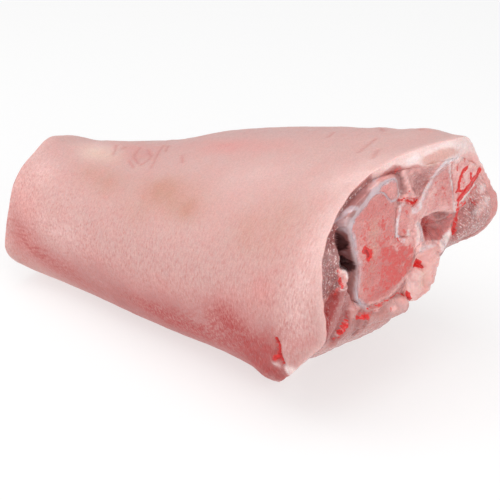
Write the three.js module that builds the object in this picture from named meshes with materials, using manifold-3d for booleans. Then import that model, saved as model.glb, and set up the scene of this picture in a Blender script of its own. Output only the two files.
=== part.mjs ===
// A raw pork hock, the lower leg of a pig with its rind on, lying on its side. Millimetres, +Z up.
// The shank runs along X, from the sawn foot end at -X to the cut through the knee at +X; -Y is the near side.
// A layer of fat with the rind on it wraps the lean. The shin bone and the thinner calf bone beside it run the
// whole length. Gristle, a bone of the knee, the crest of the shin bone and a lump of fat show in the knee cut.
import * as THREE from "three";
import { mergeVertices } from "three/addons/utils/BufferGeometryUtils.js";
import Module from "manifold-3d";

const wasm = await Module();
wasm.setup();

// ---------- driving dimensions ----------

const FOOT_X = -97; // the saw cut through the ankle
const KNEE_X = 96; // the knee cut on the plane y = 0
const KNEE_LEAN = 0.1; // how much further out the knee cut stands for each mm towards the far side
const TABLE_Z = 0.6; // what the weight presses flat at the bottom of the sections below
const GAP = 0.3; // between neighbouring pieces
const SQUARENESS = 2.3; // exponent of the sections: 2 is an ellipse, more is squarer

// Sections of the shank: [x, centre y, centre z, half width, half height, roll in degrees]
const SECTIONS = [
  [-97, -12.8, 33.5, 30.3, 33.4, -23],
  [-78, -7.3, 33, 36.5, 34.2, -8],
  [-48, -1.8, 36, 42.5, 36.6, 5],
  [-10, 2.2, 43, 49.1, 42.8, 15],
  [29, 5.1, 49.3, 53.7, 48.6, 16],
  [68, 5.4, 54.3, 58.4, 55, 10],
  [97, 6.1, 58.5, 59.8, 58.2, 0],
  [110, 6.4, 60.5, 60.4, 59.5, -5],
];

// How far along X the rind reaches, by the angle round the section: 0 is the far side, 90 the top, 180 the near side
const RIND_REACH = [
  [0, 98.5], [12, 101.5], [25, 100.5], [45, 99], [62, 101], [78, 104], [95, 96], [113, 90], [140, 90.5], [165, 96],
  [184, 98.5], [194, 86], [206, 71.5], [218, 61], [236, 53.5], [270, 51], [300, 54], [325, 66], [345, 87],
];

// Thickness of rind and fat together, by the same angle: thin on the near side, a fat layer on top
const FAT_THICKNESS = [[0, 6], [50, 8], [85, 8.5], [101, 6], [113, 2.6], [180, 2.2], [225, 4], [270, 5], [320, 5.5]];

// Folds and lumps of the rind: [x, angle, half length along x, half width in degrees, rise]
const RIND_RELIEF = {
  ankleHollow: [-80, 68, 13, 22, -1.9],
  shankHollow: [-38, 60, 14, 20, -0.6],
  footFlat: [-97, 136, 12, 16, -0.6],
  footHeel: [-95, 222, 12, 16, 1.7],
  footTop: [-96, 113, 8, 13, 1.3],
  firstFold: [64, 58, 7, 16, 0.5],
  secondFold: [85, 60, 9, 13, 1.8],
  farHollow: [99, 34, 24, 16, -2.6],
  lowerLump: [57, 211, 6, 10, 1.4],
};

// The lower edge of the knee cut, [y, z]: under it the cut runs back towards the table
const KNEE_EDGE = [[-54, 48], [-44, 42], [-30, 39.3], [-12, 38], [2, 37], [10, 44], [22, 54], [32, 59], [50, 60], [62, 68]];
const UNDERCUT_SLOPE = 1.2;

// Outlines of what the saw went through, [y, z] on the knee cut
const SHIN_OUTLINE = [
  [-29, 97], [-22, 101], [-17, 104], [-13.5, 103.5], [-8.5, 98], [-5.5, 97.5], [-4.7, 91], [-4.8, 85], [-3.5, 79.5],
  [0, 77], [5, 77], [8.5, 73], [8, 66], [5, 59.5], [0, 55.5], [-8, 52.8], [-16, 53.2], [-21, 55.5], [-24.5, 60],
  [-25, 68], [-24.6, 75], [-27, 81], [-28.5, 88], [-30, 94],
];
const CALF_OUTLINE = [
  [-3, 92.5], [-1, 94], [2.5, 92.5], [7, 88.5], [12, 92.5], [16, 97.5], [21, 101.5], [25.5, 103], [28, 100],
  [29.5, 95], [31, 89], [32.6, 82], [32.5, 79.3], [27, 80.5], [21, 82.3], [13, 82.6], [8, 80.5], [3.5, 78.8],
  [0, 79], [-2.2, 81], [-3.2, 86],
];
const KNEE_BONE_OUTLINE = [
  [29.4, 102], [34, 101.4], [41, 101.6], [45.5, 98.6], [48.3, 94], [48, 90], [45, 86.7], [40, 84.3], [36.8, 81.6],
  [34.8, 79.6], [33.6, 83.5], [32, 90], [30.6, 96],
];
const CREST_OUTLINE = [
  [-14.5, 105.4], [-10, 107.3], [-6, 106.5], [-4.2, 103], [-4.6, 99.8], [-7, 98.9], [-9, 100.6], [-11.4, 103.6],
];
const GRISTLE_OUTLINE = [
  [-19, 52.5], [-24, 56], [-27.8, 61], [-27.6, 69], [-26.8, 76], [-30, 83], [-32, 90], [-34, 97.5], [-30, 102],
  [-23, 105.5], [-15, 108.8], [-8, 109.4], [-3.2, 107.5], [-1.8, 103], [-3.2, 97], [-8, 92], [-11, 82], [-11, 70],
  [-13, 58],
];
const FAT_LUMP_OUTLINE = [
  [4.5, 50], [6.5, 56], [9, 63], [14, 66.5], [19.5, 67], [23.5, 65.5], [24.8, 60], [24.5, 54], [22, 49.5],
  [19, 47], [15, 43.8], [10.5, 43], [6.5, 45.5],
];
const JOINT_GAP_OUTLINE = [
  [-38.5, 97], [-38, 90], [-36.8, 84], [-36, 80], [-31.5, 76.8], [-30.5, 72], [-31, 66], [-27, 64], [-25, 70],
  [-25, 77], [-27, 83], [-29.5, 90], [-33, 96],
];

// Shafts the two long bones narrow to: [x, centre y, centre z, half width, half height]
const SHIN_SHAFT = [[90, -12, 76, 17, 23], [50, -7, 62, 14, 16], [10, -2, 49, 11, 12], [-50, -6, 35, 11, 11.5], [-97, -17, 31, 12.5, 13]];
const CALF_SHAFT = [[90, 15, 90, 16, 10], [50, 17, 72, 9, 8], [10, 18, 56, 6, 6], [-50, 12, 41, 5, 5], [-97, 4, 37, 5, 5.5]];
const KNEE_END_DEPTH = 34; // behind the cut, where the long bones have become shafts

// Relief of the lean in the knee cut: [from, to, half width, rise along X]. A negative rise is a groove or hollow
const LEAN_RELIEF = {
  nearStrip: [[-45, 72], [-43, 96], 5, 1.5],
  upperStrip: [[-36, 105], [-22, 109], 5, -1],
  cornerRoll: [[-42, 49], [-36, 64], 6, 4.5],
  rollShadow: [[-46, 57], [-41, 67], 3, -4.5],
  secondRoll: [[-31, 46], [-27, 55], 4.5, 3],
  rollGroove: [[-37, 44], [-33, 54], 3, -4],
  flap: [[-24, 44], [3, 42], 5, 4],
  flapGroove: [[-25, 50.5], [3, 50.5], 3, -3],
  topGroove: [[-5, 110], [-1, 101], 3.5, -4],
  midMuscle: [[6, 106], [13, 98], 5, -1.5],
  topMuscle: [[13, 108], [30, 106], 4.5, 1],
  hollow: [[17, 75], [29, 72], 6, -10],
  innerGroove: [[34, 76], [35, 66], 3.5, -4],
  farMuscle: [[41, 70], [56, 70], 9, 3],
};

const AROUND = 48; // points round a section

// ---------- small helpers ----------

// A smooth curve through keys [t, ...values], as a function of t; past the ends it goes on straight
function through(keys) {
  const slope = (i, c) => {
    const a = keys[Math.max(i - 1, 0)];
    const b = keys[Math.min(i + 1, keys.length - 1)];
    return (b[c] - a[c]) / (b[0] - a[0]);
  };
  return (t) => {
    let i = 0;
    while (i < keys.length - 2 && t > keys[i + 1][0]) i++;
    const span = keys[i + 1][0] - keys[i][0];
    const u = (t - keys[i][0]) / span;
    return keys[0].slice(1).map((_, k) => {
      const c = k + 1;
      const [p, q, m, n] = [keys[i][c], keys[i + 1][c], slope(i, c) * span, slope(i + 1, c) * span];
      if (u < 0) return p + m * u;
      if (u > 1) return q + n * (u - 1);
      return p + u * (m + u * (3 * (q - p) - 2 * m - n + u * (2 * (p - q) + m + n)));
    });
  };
}

// The same for keys given by angle, which close on themselves after 360 degrees
function round(keys) {
  const turned = (key, by) => [key[0] + by, ...key.slice(1)];
  const curve = through([...keys.slice(-2).map((k) => turned(k, -360)), ...keys, ...keys.slice(0, 2).map((k) => turned(k, 360))]);
  return (angle) => curve(((angle % 360) + 360) % 360)[0];
}

const section = through(SECTIONS);
const rindReach = round(RIND_REACH);
const fatThickness = round(FAT_THICKNESS);
const kneeEdge = through(KNEE_EDGE);
const radians = THREE.MathUtils.degToRad;

const rindRelief = (x, angle) => Object.values(RIND_RELIEF).reduce((sum, [atX, atAngle, halfX, halfAngle, rise]) => (
  sum + rise * Math.exp(-(((x - atX) / halfX) ** 2) - ((angle - atAngle) / halfAngle) ** 2)), 0);

// A point of the shank's surface at x and angle, moved in by inset
function surfacePoint(x, angle, inset) {
  const [cy, cz, a, b, roll] = section(x);
  const [c, s] = [Math.cos(radians(angle)), Math.sin(radians(angle))];
  const k = (Math.abs(c) ** SQUARENESS + Math.abs(s) ** SQUARENESS) ** (-1 / SQUARENESS);
  const flat = new THREE.Vector2((a - inset) * k * c, (b - inset) * k * s).rotateAround(new THREE.Vector2(), radians(roll));
  return [x, cy + flat.x, Math.max(cz + flat.y, TABLE_Z + inset)];
}

// A closed body from rings of [x, y, z] points with equal counts, each end closed by a fan
function bodyOf(rings, around = rings[0].length) {
  const positions = rings.flat(2);
  const index = [];
  const at = (r, i) => r * around + (i % around);
  for (let r = 0; r < rings.length - 1; r++) {
    for (let i = 0; i < around; i++) {
      index.push(at(r, i), at(r, i + 1), at(r + 1, i), at(r, i + 1), at(r + 1, i + 1), at(r + 1, i));
    }
  }
  [[0, 1], [rings.length - 1, 0]].forEach(([r, flip]) => {
    const centre = positions.length / 3;
    positions.push(...[0, 1, 2].map((c) => rings[r].reduce((sum, p) => sum + p[c], 0) / around));
    for (let i = 0; i < around; i++) index.push(centre, ...(flip ? [at(r, i + 1), at(r, i)] : [at(r, i), at(r, i + 1)]));
  });
  return solid(new THREE.BufferGeometry()
    .setAttribute("position", new THREE.Float32BufferAttribute(positions, 3))
    .setIndex(index));
}

// A geometry as a solid that can be joined and cut
function solid(geometry) {
  const merged = mergeVertices(geometry, 1e-4);
  const made = new wasm.Manifold(new wasm.Mesh({
    numProp: 3,
    vertProperties: new Float32Array(merged.attributes.position.array),
    triVerts: new Uint32Array(merged.index.array),
  }));
  return made;
}

const evenly = (from, to, count) => Array.from({ length: count }, (_, i) => from + ((to - from) * i) / (count - 1));
const angles = (count) => Array.from({ length: count }, (_, i) => (360 * i) / count);
const kneePlane = (y) => KNEE_X + KNEE_LEAN * y;

// A closed spline through outline points, as count points evenly along it, moved out by grow
function traced(outline, count, grow = 0) {
  const curve = new THREE.CatmullRomCurve3(outline.map(([y, z]) => new THREE.Vector3(0, y, z)), true, "centripetal");
  const area = THREE.ShapeUtils.area(outline.map(([y, z]) => new THREE.Vector2(y, z)));
  return Array.from({ length: count }, (_, i) => {
    const u = area > 0 ? i / count : 1 - i / count;
    const p = curve.getPointAt(u % 1);
    const t = curve.getTangentAt(u % 1).multiplyScalar(Math.sign(area) * grow);
    return [p.y + t.z, p.z - t.y];
  });
}

// ---------- the pieces ----------

// The fat with its rind: a tube between the shank's surface and an inner wall, with rounded lips at both ends
function outerFat(grow = 0) {
  const lip = 0.35; // how much of the thickness the lip's edge is rounded by
  const wall = (share, insetShare) => angles(AROUND).map((angle) => {
    const x = FOOT_X - grow + (rindReach(angle) + 2 * grow - FOOT_X) * share;
    const inset = insetShare > 0.5 ? grow : -grow - rindRelief(x, angle);
    return surfacePoint(x, angle, fatThickness(angle) * insetShare + inset);
  });
  const outer = evenly(0.012, 0.985, 20).map((share) => wall(share, 0));
  const kneeLip = [wall(1, lip), wall(1, 1 - lip / 2)];
  const inner = evenly(0.99, 0.02, 8).map((share) => wall(share, 1));
  const footLip = [wall(0, 1 - lip), wall(0, lip)];
  return tubeOf([...outer, ...kneeLip, ...inner, ...footLip]);
}

// A body from rings that close on themselves, last to first
function tubeOf(rings) {
  const around = rings[0].length;
  const index = [];
  const at = (r, i) => (r % rings.length) * around + (i % around);
  rings.forEach((_, r) => {
    for (let i = 0; i < around; i++) index.push(at(r, i), at(r, i + 1), at(r + 1, i), at(r, i + 1), at(r + 1, i + 1), at(r + 1, i));
  });
  return solid(new THREE.BufferGeometry()
    .setAttribute("position", new THREE.Float32BufferAttribute(rings.flat(2), 3))
    .setIndex(index));
}

// Everything inside the rind, endless at the knee: the long bones and the lean are kept to it
const inside = (extra) => bodyOf(evenly(FOOT_X - 4, 108, 14).map((x) => (
  angles(AROUND).map((angle) => surfacePoint(x, angle, fatThickness(angle) + extra)))));

// The lean's surface in the knee cut
function leanFace(y, z) {
  const under = (kneeEdge(y)[0] - z) / 3;
  const undercut = UNDERCUT_SLOPE * 3 * Math.log1p(Math.exp(Math.min(under, 30)));
  return kneePlane(y) - 1.5 - undercut + Object.values(LEAN_RELIEF).reduce((sum, [from, to, width, rise]) => {
    const [p, a, b] = [[y, z], from, to].map(([u, v]) => new THREE.Vector3(0, u, v));
    const near = new THREE.Line3(a, b).closestPointToPoint(p, true, new THREE.Vector3());
    return sum + rise * Math.exp(-((near.distanceTo(p) / width) ** 2));
  }, 0);
}

// How far out a point of the knee cut lies, from 0 in the middle to 1 at the inner wall of the fat
function outwardShare(y, z) {
  const [cy, cz, a, b, roll] = section(KNEE_X);
  const flat = new THREE.Vector2(y - cy, z - cz).rotateAround(new THREE.Vector2(), -radians(roll));
  const angle = THREE.MathUtils.radToDeg(Math.atan2(flat.y / b, flat.x / a));
  const wall = fatThickness(angle);
  const share = (Math.abs(flat.x / (a - wall)) ** SQUARENESS + Math.abs(flat.y / (b - wall)) ** SQUARENESS) ** (1 / SQUARENESS);
  return { share, angle };
}

// A block with a relief on one side, which cuts that relief out of the lean
function reliefCutter(face, back) {
  const [ys, zs] = [evenly(-60, 72, 51), evenly(-4, 122, 49)];
  const steps = ys.flatMap((y) => zs.map((z) => [face(y, z), y, z]));
  const positions = [...steps, ...steps.map(([, y, z]) => [back, y, z])].flat();
  const index = [];
  const at = (i, j, side) => side * steps.length + i * zs.length + j;
  const quad = (p, q, r, s) => index.push(p, q, r, p, r, s);
  for (let i = 0; i < ys.length - 1; i++) {
    for (let j = 0; j < zs.length - 1; j++) {
      quad(at(i, j, 0), at(i, j + 1, 0), at(i + 1, j + 1, 0), at(i + 1, j, 0));
      quad(at(i, j, 1), at(i + 1, j, 1), at(i + 1, j + 1, 1), at(i, j + 1, 1));
    }
    quad(at(i, 0, 0), at(i + 1, 0, 0), at(i + 1, 0, 1), at(i, 0, 1));
    quad(at(i, zs.length - 1, 1), at(i + 1, zs.length - 1, 1), at(i + 1, zs.length - 1, 0), at(i, zs.length - 1, 0));
  }
  for (let j = 0; j < zs.length - 1; j++) {
    quad(at(0, j, 1), at(0, j + 1, 1), at(0, j + 1, 0), at(0, j, 0));
    quad(at(ys.length - 1, j, 0), at(ys.length - 1, j + 1, 0), at(ys.length - 1, j + 1, 1), at(ys.length - 1, j, 1));
  }
  return solid(new THREE.BufferGeometry()
    .setAttribute("position", new THREE.Float32BufferAttribute(positions, 3))
    .setIndex(index));
}

// The lean: fills the rind between a shallow dish at the foot end and the relief of the knee cut
function leanBody() {
  const kneeRelief = reliefCutter((y, z) => {
    const { share, angle } = outwardShare(y, z);
    const rim = THREE.MathUtils.smoothstep(share, 0.84, 1);
    return THREE.MathUtils.lerp(leanFace(y, z), rindReach(angle) - 1.5, rim);
  }, 140);
  const dish = bodyOf([[-20, 1.02], [3, 0.98], [1.8, 0.8], [1.2, 0.4]].map(([x, share]) => (
    angles(AROUND).map((angle) => {
      const [cy, cz] = section(FOOT_X);
      const [, y, z] = surfacePoint(FOOT_X, angle, 0);
      return [FOOT_X + x, cy + (y - cy) * share, cz + (z - cz) * share];
    }))));
  return inside(-1).subtract(kneeRelief).subtract(dish);
}

// A bone that starts as its outline in the knee cut and narrows to a shaft that runs to the foot end
function longBone(outline, shaft, count, grow = 0) {
  const shaftAt = through([...shaft].sort((p, q) => p[0] - q[0]));
  const face = traced(outline, count, grow);
  const ends = grow ? [[FOOT_X - 6], [KNEE_X + 14]] : [[], [KNEE_X]];
  const start = Math.atan2(outline[0][1] - shaft[0][2], outline[0][0] - shaft[0][1]);
  const rings = [...ends[0], FOOT_X + 0.5, -80, -50, -20, 10, 35, 50, 60, 70, 78, 85, KNEE_X - 4, ...ends[1]].map((x) => {
    const [cy, cz, ry, rz] = shaftAt(Math.min(x, shaft[0][0]));
    const kneeShare = THREE.MathUtils.smoothstep(x, KNEE_X - 4 - KNEE_END_DEPTH, KNEE_X - 4);
    return face.map(([y, z], i) => {
      const turn = start + (2 * Math.PI * i) / count;
      const round = [cy + (ry + grow) * Math.cos(turn), cz + (rz + grow) * Math.sin(turn)];
      const at = [y, z].map((v, c) => THREE.MathUtils.lerp(round[c], v, kneeShare));
      return [x >= KNEE_X ? x + KNEE_LEAN * at[0] : x, ...at];
    });
  });
  return bodyOf(rings);
}

// A bone end or other plug that shows in the knee cut and tapers off behind it
function plug(outline, count, { depth, drop = [0, 0], taper = 0.6, dome = 0, grow = 0, out = 0 }) {
  const face = traced(outline, count, grow);
  const centre = [0, 1].map((c) => outline.reduce((sum, p) => sum + p[c], 0) / outline.length);
  const ring = (back, scale, forward = 0) => face.map((p) => {
    const at = p.map((v, i) => centre[i] + (v - centre[i]) * scale + (drop[i] * Math.max(back, 0)) / depth);
    return [kneePlane(at[0]) - back + forward, ...at];
  });
  const back = [[1, 0.55], [0.92, 0.85], [0.7, 1.2], [0.35, 1.5]]
    .map(([share, scale]) => ring(share * depth + (share === 1 ? 2 * grow : 0), Math.min(scale * taper, 1)));
  const domed = dome ? [[0.6, 0.9], [0.9, 0.65], [1, 0.3]].map(([share, scale]) => ring(-share * dome, scale)) : [];
  return bodyOf([...back, ring(0.1 * depth, 1), ring(0, 1), ...domed, ...(out ? [ring(0, 1, out)] : [])]);
}

function build() {
  const core = inside(2 * GAP);
  const shinBone = longBone(SHIN_OUTLINE, SHIN_SHAFT, 34).intersect(core);
  const calfBone = longBone(CALF_OUTLINE, CALF_SHAFT, 28).intersect(core);
  const shinSpace = longBone(SHIN_OUTLINE, SHIN_SHAFT, 34, GAP);
  const calfSpace = longBone(CALF_OUTLINE, CALF_SHAFT, 28, GAP);

  const kneeBone = { depth: 40, drop: [-10, -14], taper: 0.55 };
  const crest = { depth: 16, drop: [1, -1], taper: 0.7 };
  const gristle = { depth: 30, drop: [-5, -8], taper: 0.9 };
  const fatLump = { depth: 22, drop: [-1, 6], taper: 0.7, dome: 2 };
  const jointGap = { depth: 22, drop: [0, -4], taper: 0.5, out: 12 };
  const cutters = (spec) => ({ ...spec, grow: GAP, out: 12 });

  const kneeBoneSpace = plug(KNEE_BONE_OUTLINE, 20, cutters(kneeBone));
  const crestSpace = plug(CREST_OUTLINE, 14, cutters(crest));
  const gristleBody = plug(GRISTLE_OUTLINE, 34, gristle).intersect(core)
    .subtract(shinSpace).subtract(calfSpace).subtract(crestSpace);
  const gristleSpace = plug(GRISTLE_OUTLINE, 34, cutters(gristle));
  const fatLumpBody = plug(FAT_LUMP_OUTLINE, 20, fatLump).intersect(core).subtract(shinSpace).subtract(calfSpace);
  const fatLumpSpace = plug(FAT_LUMP_OUTLINE, 20, { ...cutters(fatLump), dome: 0 });

  const lean = [outerFat(GAP), shinSpace, calfSpace, kneeBoneSpace, crestSpace, gristleSpace, fatLumpSpace, plug(JOINT_GAP_OUTLINE, 22, jointGap)]
    .reduce((rest, space) => rest.subtract(space), leanBody());

  return [
    ["outer_fat", outerFat(), 0xe6b5ad, 0.55],
    ["lean", largest(lean.simplify(0.05)), 0xa6615c, 0.4],
    ["shin_bone", shinBone, 0xd9918a, 0.5],
    ["calf_bone", calfBone.subtract(shinSpace), 0xdba09a, 0.5],
    ["knee_bone", plug(KNEE_BONE_OUTLINE, 20, kneeBone).intersect(core).subtract(calfSpace), 0xe3aaa4, 0.5],
    ["shin_crest", plug(CREST_OUTLINE, 14, crest).intersect(core).subtract(shinSpace).subtract(calfSpace), 0xdc9a93, 0.5],
    ["gristle", largest(gristleBody.simplify(0.03)), 0xdccdd2, 0.3],
    ["fat_lump", largest(fatLumpBody), 0xe6c8c0, 0.45],
  ];
}

// The biggest of a solid's separate bodies
function largest(body) {
  return body.decompose().sort((a, b) => b.volume() - a.volume())[0];
}

function meshOf([name, body, colour, roughness]) {
  const { vertProperties, triVerts } = body.getMesh();
  const geometry = new THREE.BufferGeometry()
    .setAttribute("position", new THREE.BufferAttribute(new Float32Array(vertProperties), 3))
    .setIndex(new THREE.BufferAttribute(new Uint32Array(triVerts), 1));
  geometry.computeVertexNormals();
  const mesh = new THREE.Mesh(geometry, new THREE.MeshStandardMaterial({ color: colour, roughness, metalness: 0 }));
  mesh.name = name;
  return mesh;
}

const hock = new THREE.Group();
hock.add(...build().map(meshOf));

// The origin is on the table, under the middle of the hock
const box = new THREE.Box3().setFromObject(hock);
const middle = box.getCenter(new THREE.Vector3());
hock.position.set(-middle.x, -middle.y, -box.min.z);

export default hock;
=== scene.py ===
"""A raw pork hock on a pale floor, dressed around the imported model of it.

Drawing millimetres: x runs along the shank from the sawn foot end to the knee cut, -y is the near side
and z is up. Angles round the shank are in degrees: 0 is the far side, 90 the top and 180 the near side.
"""
import math

import bmesh
import bpy
import numpy as np
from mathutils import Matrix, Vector


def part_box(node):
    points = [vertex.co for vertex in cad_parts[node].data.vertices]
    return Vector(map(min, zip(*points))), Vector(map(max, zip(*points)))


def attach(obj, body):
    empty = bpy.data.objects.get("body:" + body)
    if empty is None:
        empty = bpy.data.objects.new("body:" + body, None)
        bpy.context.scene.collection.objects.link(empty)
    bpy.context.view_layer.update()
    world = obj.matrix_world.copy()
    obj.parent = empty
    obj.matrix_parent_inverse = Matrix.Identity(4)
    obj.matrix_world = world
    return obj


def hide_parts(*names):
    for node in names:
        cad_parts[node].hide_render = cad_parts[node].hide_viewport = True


bl_info = {
    "name": "Pork hock",
    "version": (1, 0, 0),
    "blender": (4, 5, 0),
    "location": "3D View > Sidebar > Hock",
    "description": "Dresses the solids of a raw pork hock with rind, fat, lean, bone and gristle",
    "category": "Object",
}

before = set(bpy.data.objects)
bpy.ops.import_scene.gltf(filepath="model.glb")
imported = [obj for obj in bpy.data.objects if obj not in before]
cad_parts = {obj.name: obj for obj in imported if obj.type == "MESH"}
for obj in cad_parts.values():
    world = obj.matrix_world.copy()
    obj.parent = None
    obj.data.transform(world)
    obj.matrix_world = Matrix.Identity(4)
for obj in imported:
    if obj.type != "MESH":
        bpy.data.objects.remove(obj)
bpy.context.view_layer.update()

# ---------- the hock's own sizes, in drawing millimetres ----------

FOOT_X = -97.0
KNEE_X = 96.0
KNEE_LEAN = 0.1
TABLE_Z = 0.6
SQUARENESS = 2.3
SHIN_BONE_END = FOOT_X + 0.5

# [x, centre y, centre z, half width, half height, roll]
SECTIONS = [
    [-97, -12.8, 33.5, 30.3, 33.4, -23],
    [-78, -7.3, 33, 36.5, 34.2, -8],
    [-48, -1.8, 36, 42.5, 36.6, 5],
    [-10, 2.2, 43, 49.1, 42.8, 15],
    [29, 5.1, 49.3, 53.7, 48.6, 16],
    [68, 5.4, 54.3, 58.4, 55, 10],
    [97, 6.1, 58.5, 59.8, 58.2, 0],
    [110, 6.4, 60.5, 60.4, 59.5, -5],
]
# How far along x the rind reaches, [angle, x], and how thick the fat is at the knee, [angle, thickness]
RIND_REACH = [
    [0, 98.5], [12, 101.5], [25, 100.5], [45, 99], [62, 101], [78, 104], [95, 96], [113, 90], [140, 90.5],
    [165, 96], [184, 98.5], [194, 86], [206, 71.5], [218, 61], [236, 53.5], [270, 51], [300, 54], [325, 66],
    [345, 87],
]
FAT_THICKNESS = [[0, 6], [50, 8], [85, 8.5], [101, 6], [113, 2.6], [180, 2.2], [225, 4], [270, 5], [320, 5.5]]
# [x, angle, half length along x, half width in degrees, rise]
RIND_RELIEF = {
    "ankle hollow": [-80, 68, 13, 22, -1.9],
    "shank hollow": [-38, 60, 14, 20, -0.6],
    "foot flat": [-97, 136, 12, 16, -0.6],
    "foot heel": [-95, 222, 12, 16, 1.7],
    "foot top": [-96, 113, 8, 13, 1.3],
    "first fold": [64, 58, 7, 16, 0.5],
    "second fold": [85, 60, 9, 13, 1.8],
    "far hollow": [99, 34, 24, 16, -2.6],
    "lower lump": [57, 211, 6, 10, 1.4],
}
# Where the knee cut ends below and the undercut begins, [y, z]
KNEE_EDGE = [[-54, 48], [-44, 42], [-30, 39.3], [-12, 38], [2, 37], [10, 44], [22, 52], [30, 55], [40, 58.5],
             [50, 60], [62, 68]]
# How far the undercut falls back for each mm down
UNDERCUT_SLOPE = 1.2

# The line of sight of the photograph: what moves forward by 1 along x moves by this in y and z to look
# the same
SIGHT_Y = -1.19
SIGHT_Z = 0.898


def through(keys):
    """A smooth curve through keys [t, ...values], as a function of t; it goes on straight past its ends."""
    keys = np.array(keys, float)
    t, values = keys[:, 0], keys[:, 1:]
    last = len(t) - 1
    before, after = np.maximum(np.arange(last + 1) - 1, 0), np.minimum(np.arange(last + 1) + 1, last)
    slopes = (values[after] - values[before]) / (t[after] - t[before])[:, None]

    def at(where):
        where = np.asarray(where, float)
        i = np.clip(np.searchsorted(t, where) - 1, 0, last - 1)
        span = (t[i + 1] - t[i])[..., None]
        u = (where - t[i])[..., None] / span
        p, q, m, n = values[i], values[i + 1], slopes[i] * span, slopes[i + 1] * span
        inner = p + u * (m + u * (3 * (q - p) - 2 * m - n + u * (2 * (p - q) + m + n)))
        return np.where(u < 0, p + m * u, np.where(u > 1, q + n * (u - 1), inner))
    return at


def around(keys):
    """The same for [angle, value] keys that close on themselves."""
    keys = np.array(keys, float)
    turn = np.array([360, 0])
    curve = through(np.concatenate([keys[-2:] - turn, keys, keys[:2] + turn]))
    return lambda angle: curve(np.mod(angle, 360))[..., 0]


section = through(SECTIONS)
rind_reach = around(RIND_REACH)
fat_thickness = around(FAT_THICKNESS)
knee_edge = through(KNEE_EDGE)


def surface_point(x, angle, inset=0.0):
    """A point of the shank's surface at x and angle, moved in by inset."""
    x, angle, inset = np.broadcast_arrays(np.asarray(x, float), angle, inset)
    cy, cz, a, b, roll = np.moveaxis(section(x), -1, 0)
    c, s, roll = np.cos(np.radians(angle)), np.sin(np.radians(angle)), np.radians(roll)
    k = (np.abs(c) ** SQUARENESS + np.abs(s) ** SQUARENESS) ** (-1 / SQUARENESS)
    u, v = (a - inset) * k * c, (b - inset) * k * s
    y = cy + u * np.cos(roll) - v * np.sin(roll)
    z = cz + u * np.sin(roll) + v * np.cos(roll)
    return np.stack([x, y, np.maximum(z, TABLE_Z + inset)], -1)


def blobs(x, angle, spots):
    """The sum of soft round spots [x, angle, half length, half width in degrees, height]."""
    return sum(height * np.exp(-((x - at) / long) ** 2 - ((angle - turn) / wide) ** 2)
               for at, turn, long, wide, height in spots)


def frame_origin():
    """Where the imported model's origin lies in the drawing."""
    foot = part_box("shin_bone")[0][0] * 1000
    angles = np.arange(0, 360, 7.5)
    xs = FOOT_X + (rind_reach(angles) - FOOT_X) * np.linspace(0.012, 0.985, 20)[:, None]
    y = surface_point(xs, angles, -blobs(xs, angles, RIND_RELIEF.values()))[..., 1]
    return np.array([SHIN_BONE_END - foot, (y.min() + y.max()) / 2, TABLE_Z])


ORIGIN = frame_origin()


def to_frame(points):
    """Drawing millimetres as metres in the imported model's frame."""
    return (np.asarray(points) - ORIGIN) / 1000


def to_drawing(points):
    return np.asarray(points) * 1000 + ORIGIN


# ---------- shapes in numbers ----------

def smooth(edge0, edge1, value):
    t = np.clip((value - edge0) / (edge1 - edge0), 0, 1)
    return t * t * (3 - 2 * t)


def noise(points, size, seed=0):
    """Smooth noise from -1 to 1, its bumps about size across, for points of any number of coordinates."""
    points = np.asarray(points, float) / size + 31.7 * (seed + 1)
    cell = np.floor(points).astype(np.int64)
    part = points - cell
    part = part * part * (3 - 2 * part)
    total = np.zeros(points.shape[:-1])
    dims = points.shape[-1]
    for corner in range(2 ** dims):
        offset = np.array([(corner >> d) & 1 for d in range(dims)])
        lattice = cell + offset
        mixed = np.zeros(points.shape[:-1], np.int64) + seed * 7919
        for d, prime in zip(range(dims), (73856093, 19349663, 83492791)):
            mixed = mixed ^ (lattice[..., d] * prime)
        mixed = (mixed ^ (mixed >> 13)) * 1274126177
        value = ((mixed ^ (mixed >> 16)) & 0xFFFF) / 0x7FFF - 1
        total += value * np.prod(np.where(offset, part, 1 - part), -1)
    return total


def rough(points, size, seed=0, octaves=3):
    return sum(noise(points, size / 2 ** i, seed + i) / 1.8 ** i for i in range(octaves))


def line_distance(points, line):
    """Distance of 2-D points from a line of straight stretches."""
    line = np.array(line, float)
    if len(line) == 1:
        return np.linalg.norm(points - line[0], axis=-1)
    best = np.full(len(points), np.inf)
    for a, b in zip(line[:-1], line[1:]):
        ab = b - a
        t = np.clip((points - a) @ ab / (ab @ ab), 0, 1)
        best = np.minimum(best, np.linalg.norm(points - a - t[:, None] * ab, axis=-1))
    return best


def outline_distance(points, outline):
    """Distance from a closed outline, negative inside."""
    outline = np.array(outline, float)
    closed = np.concatenate([outline, outline[:1]])
    crossings = np.zeros(len(points), int)
    for (ay, az), (by, bz) in zip(closed[:-1], closed[1:]):
        spans = (az > points[:, 1]) != (bz > points[:, 1])
        at = ay + (points[:, 1] - az) * (by - ay) / (bz - az if bz != az else 1)
        crossings += spans & (points[:, 0] < at)
    return line_distance(points, closed) * np.where(crossings % 2, -1, 1)


def knee_plane(y):
    return KNEE_X + KNEE_LEAN * y


def as_seen(points):
    """Where points lie on the plane of the knee cut, along the photograph's line of sight, as y and z."""
    x, y, z = np.moveaxis(points, -1, 0)
    forward = (knee_plane(y) - x) / (1 - KNEE_LEAN * SIGHT_Y)
    return np.stack([y + SIGHT_Y * forward, z + SIGHT_Z * forward], -1)


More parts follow.
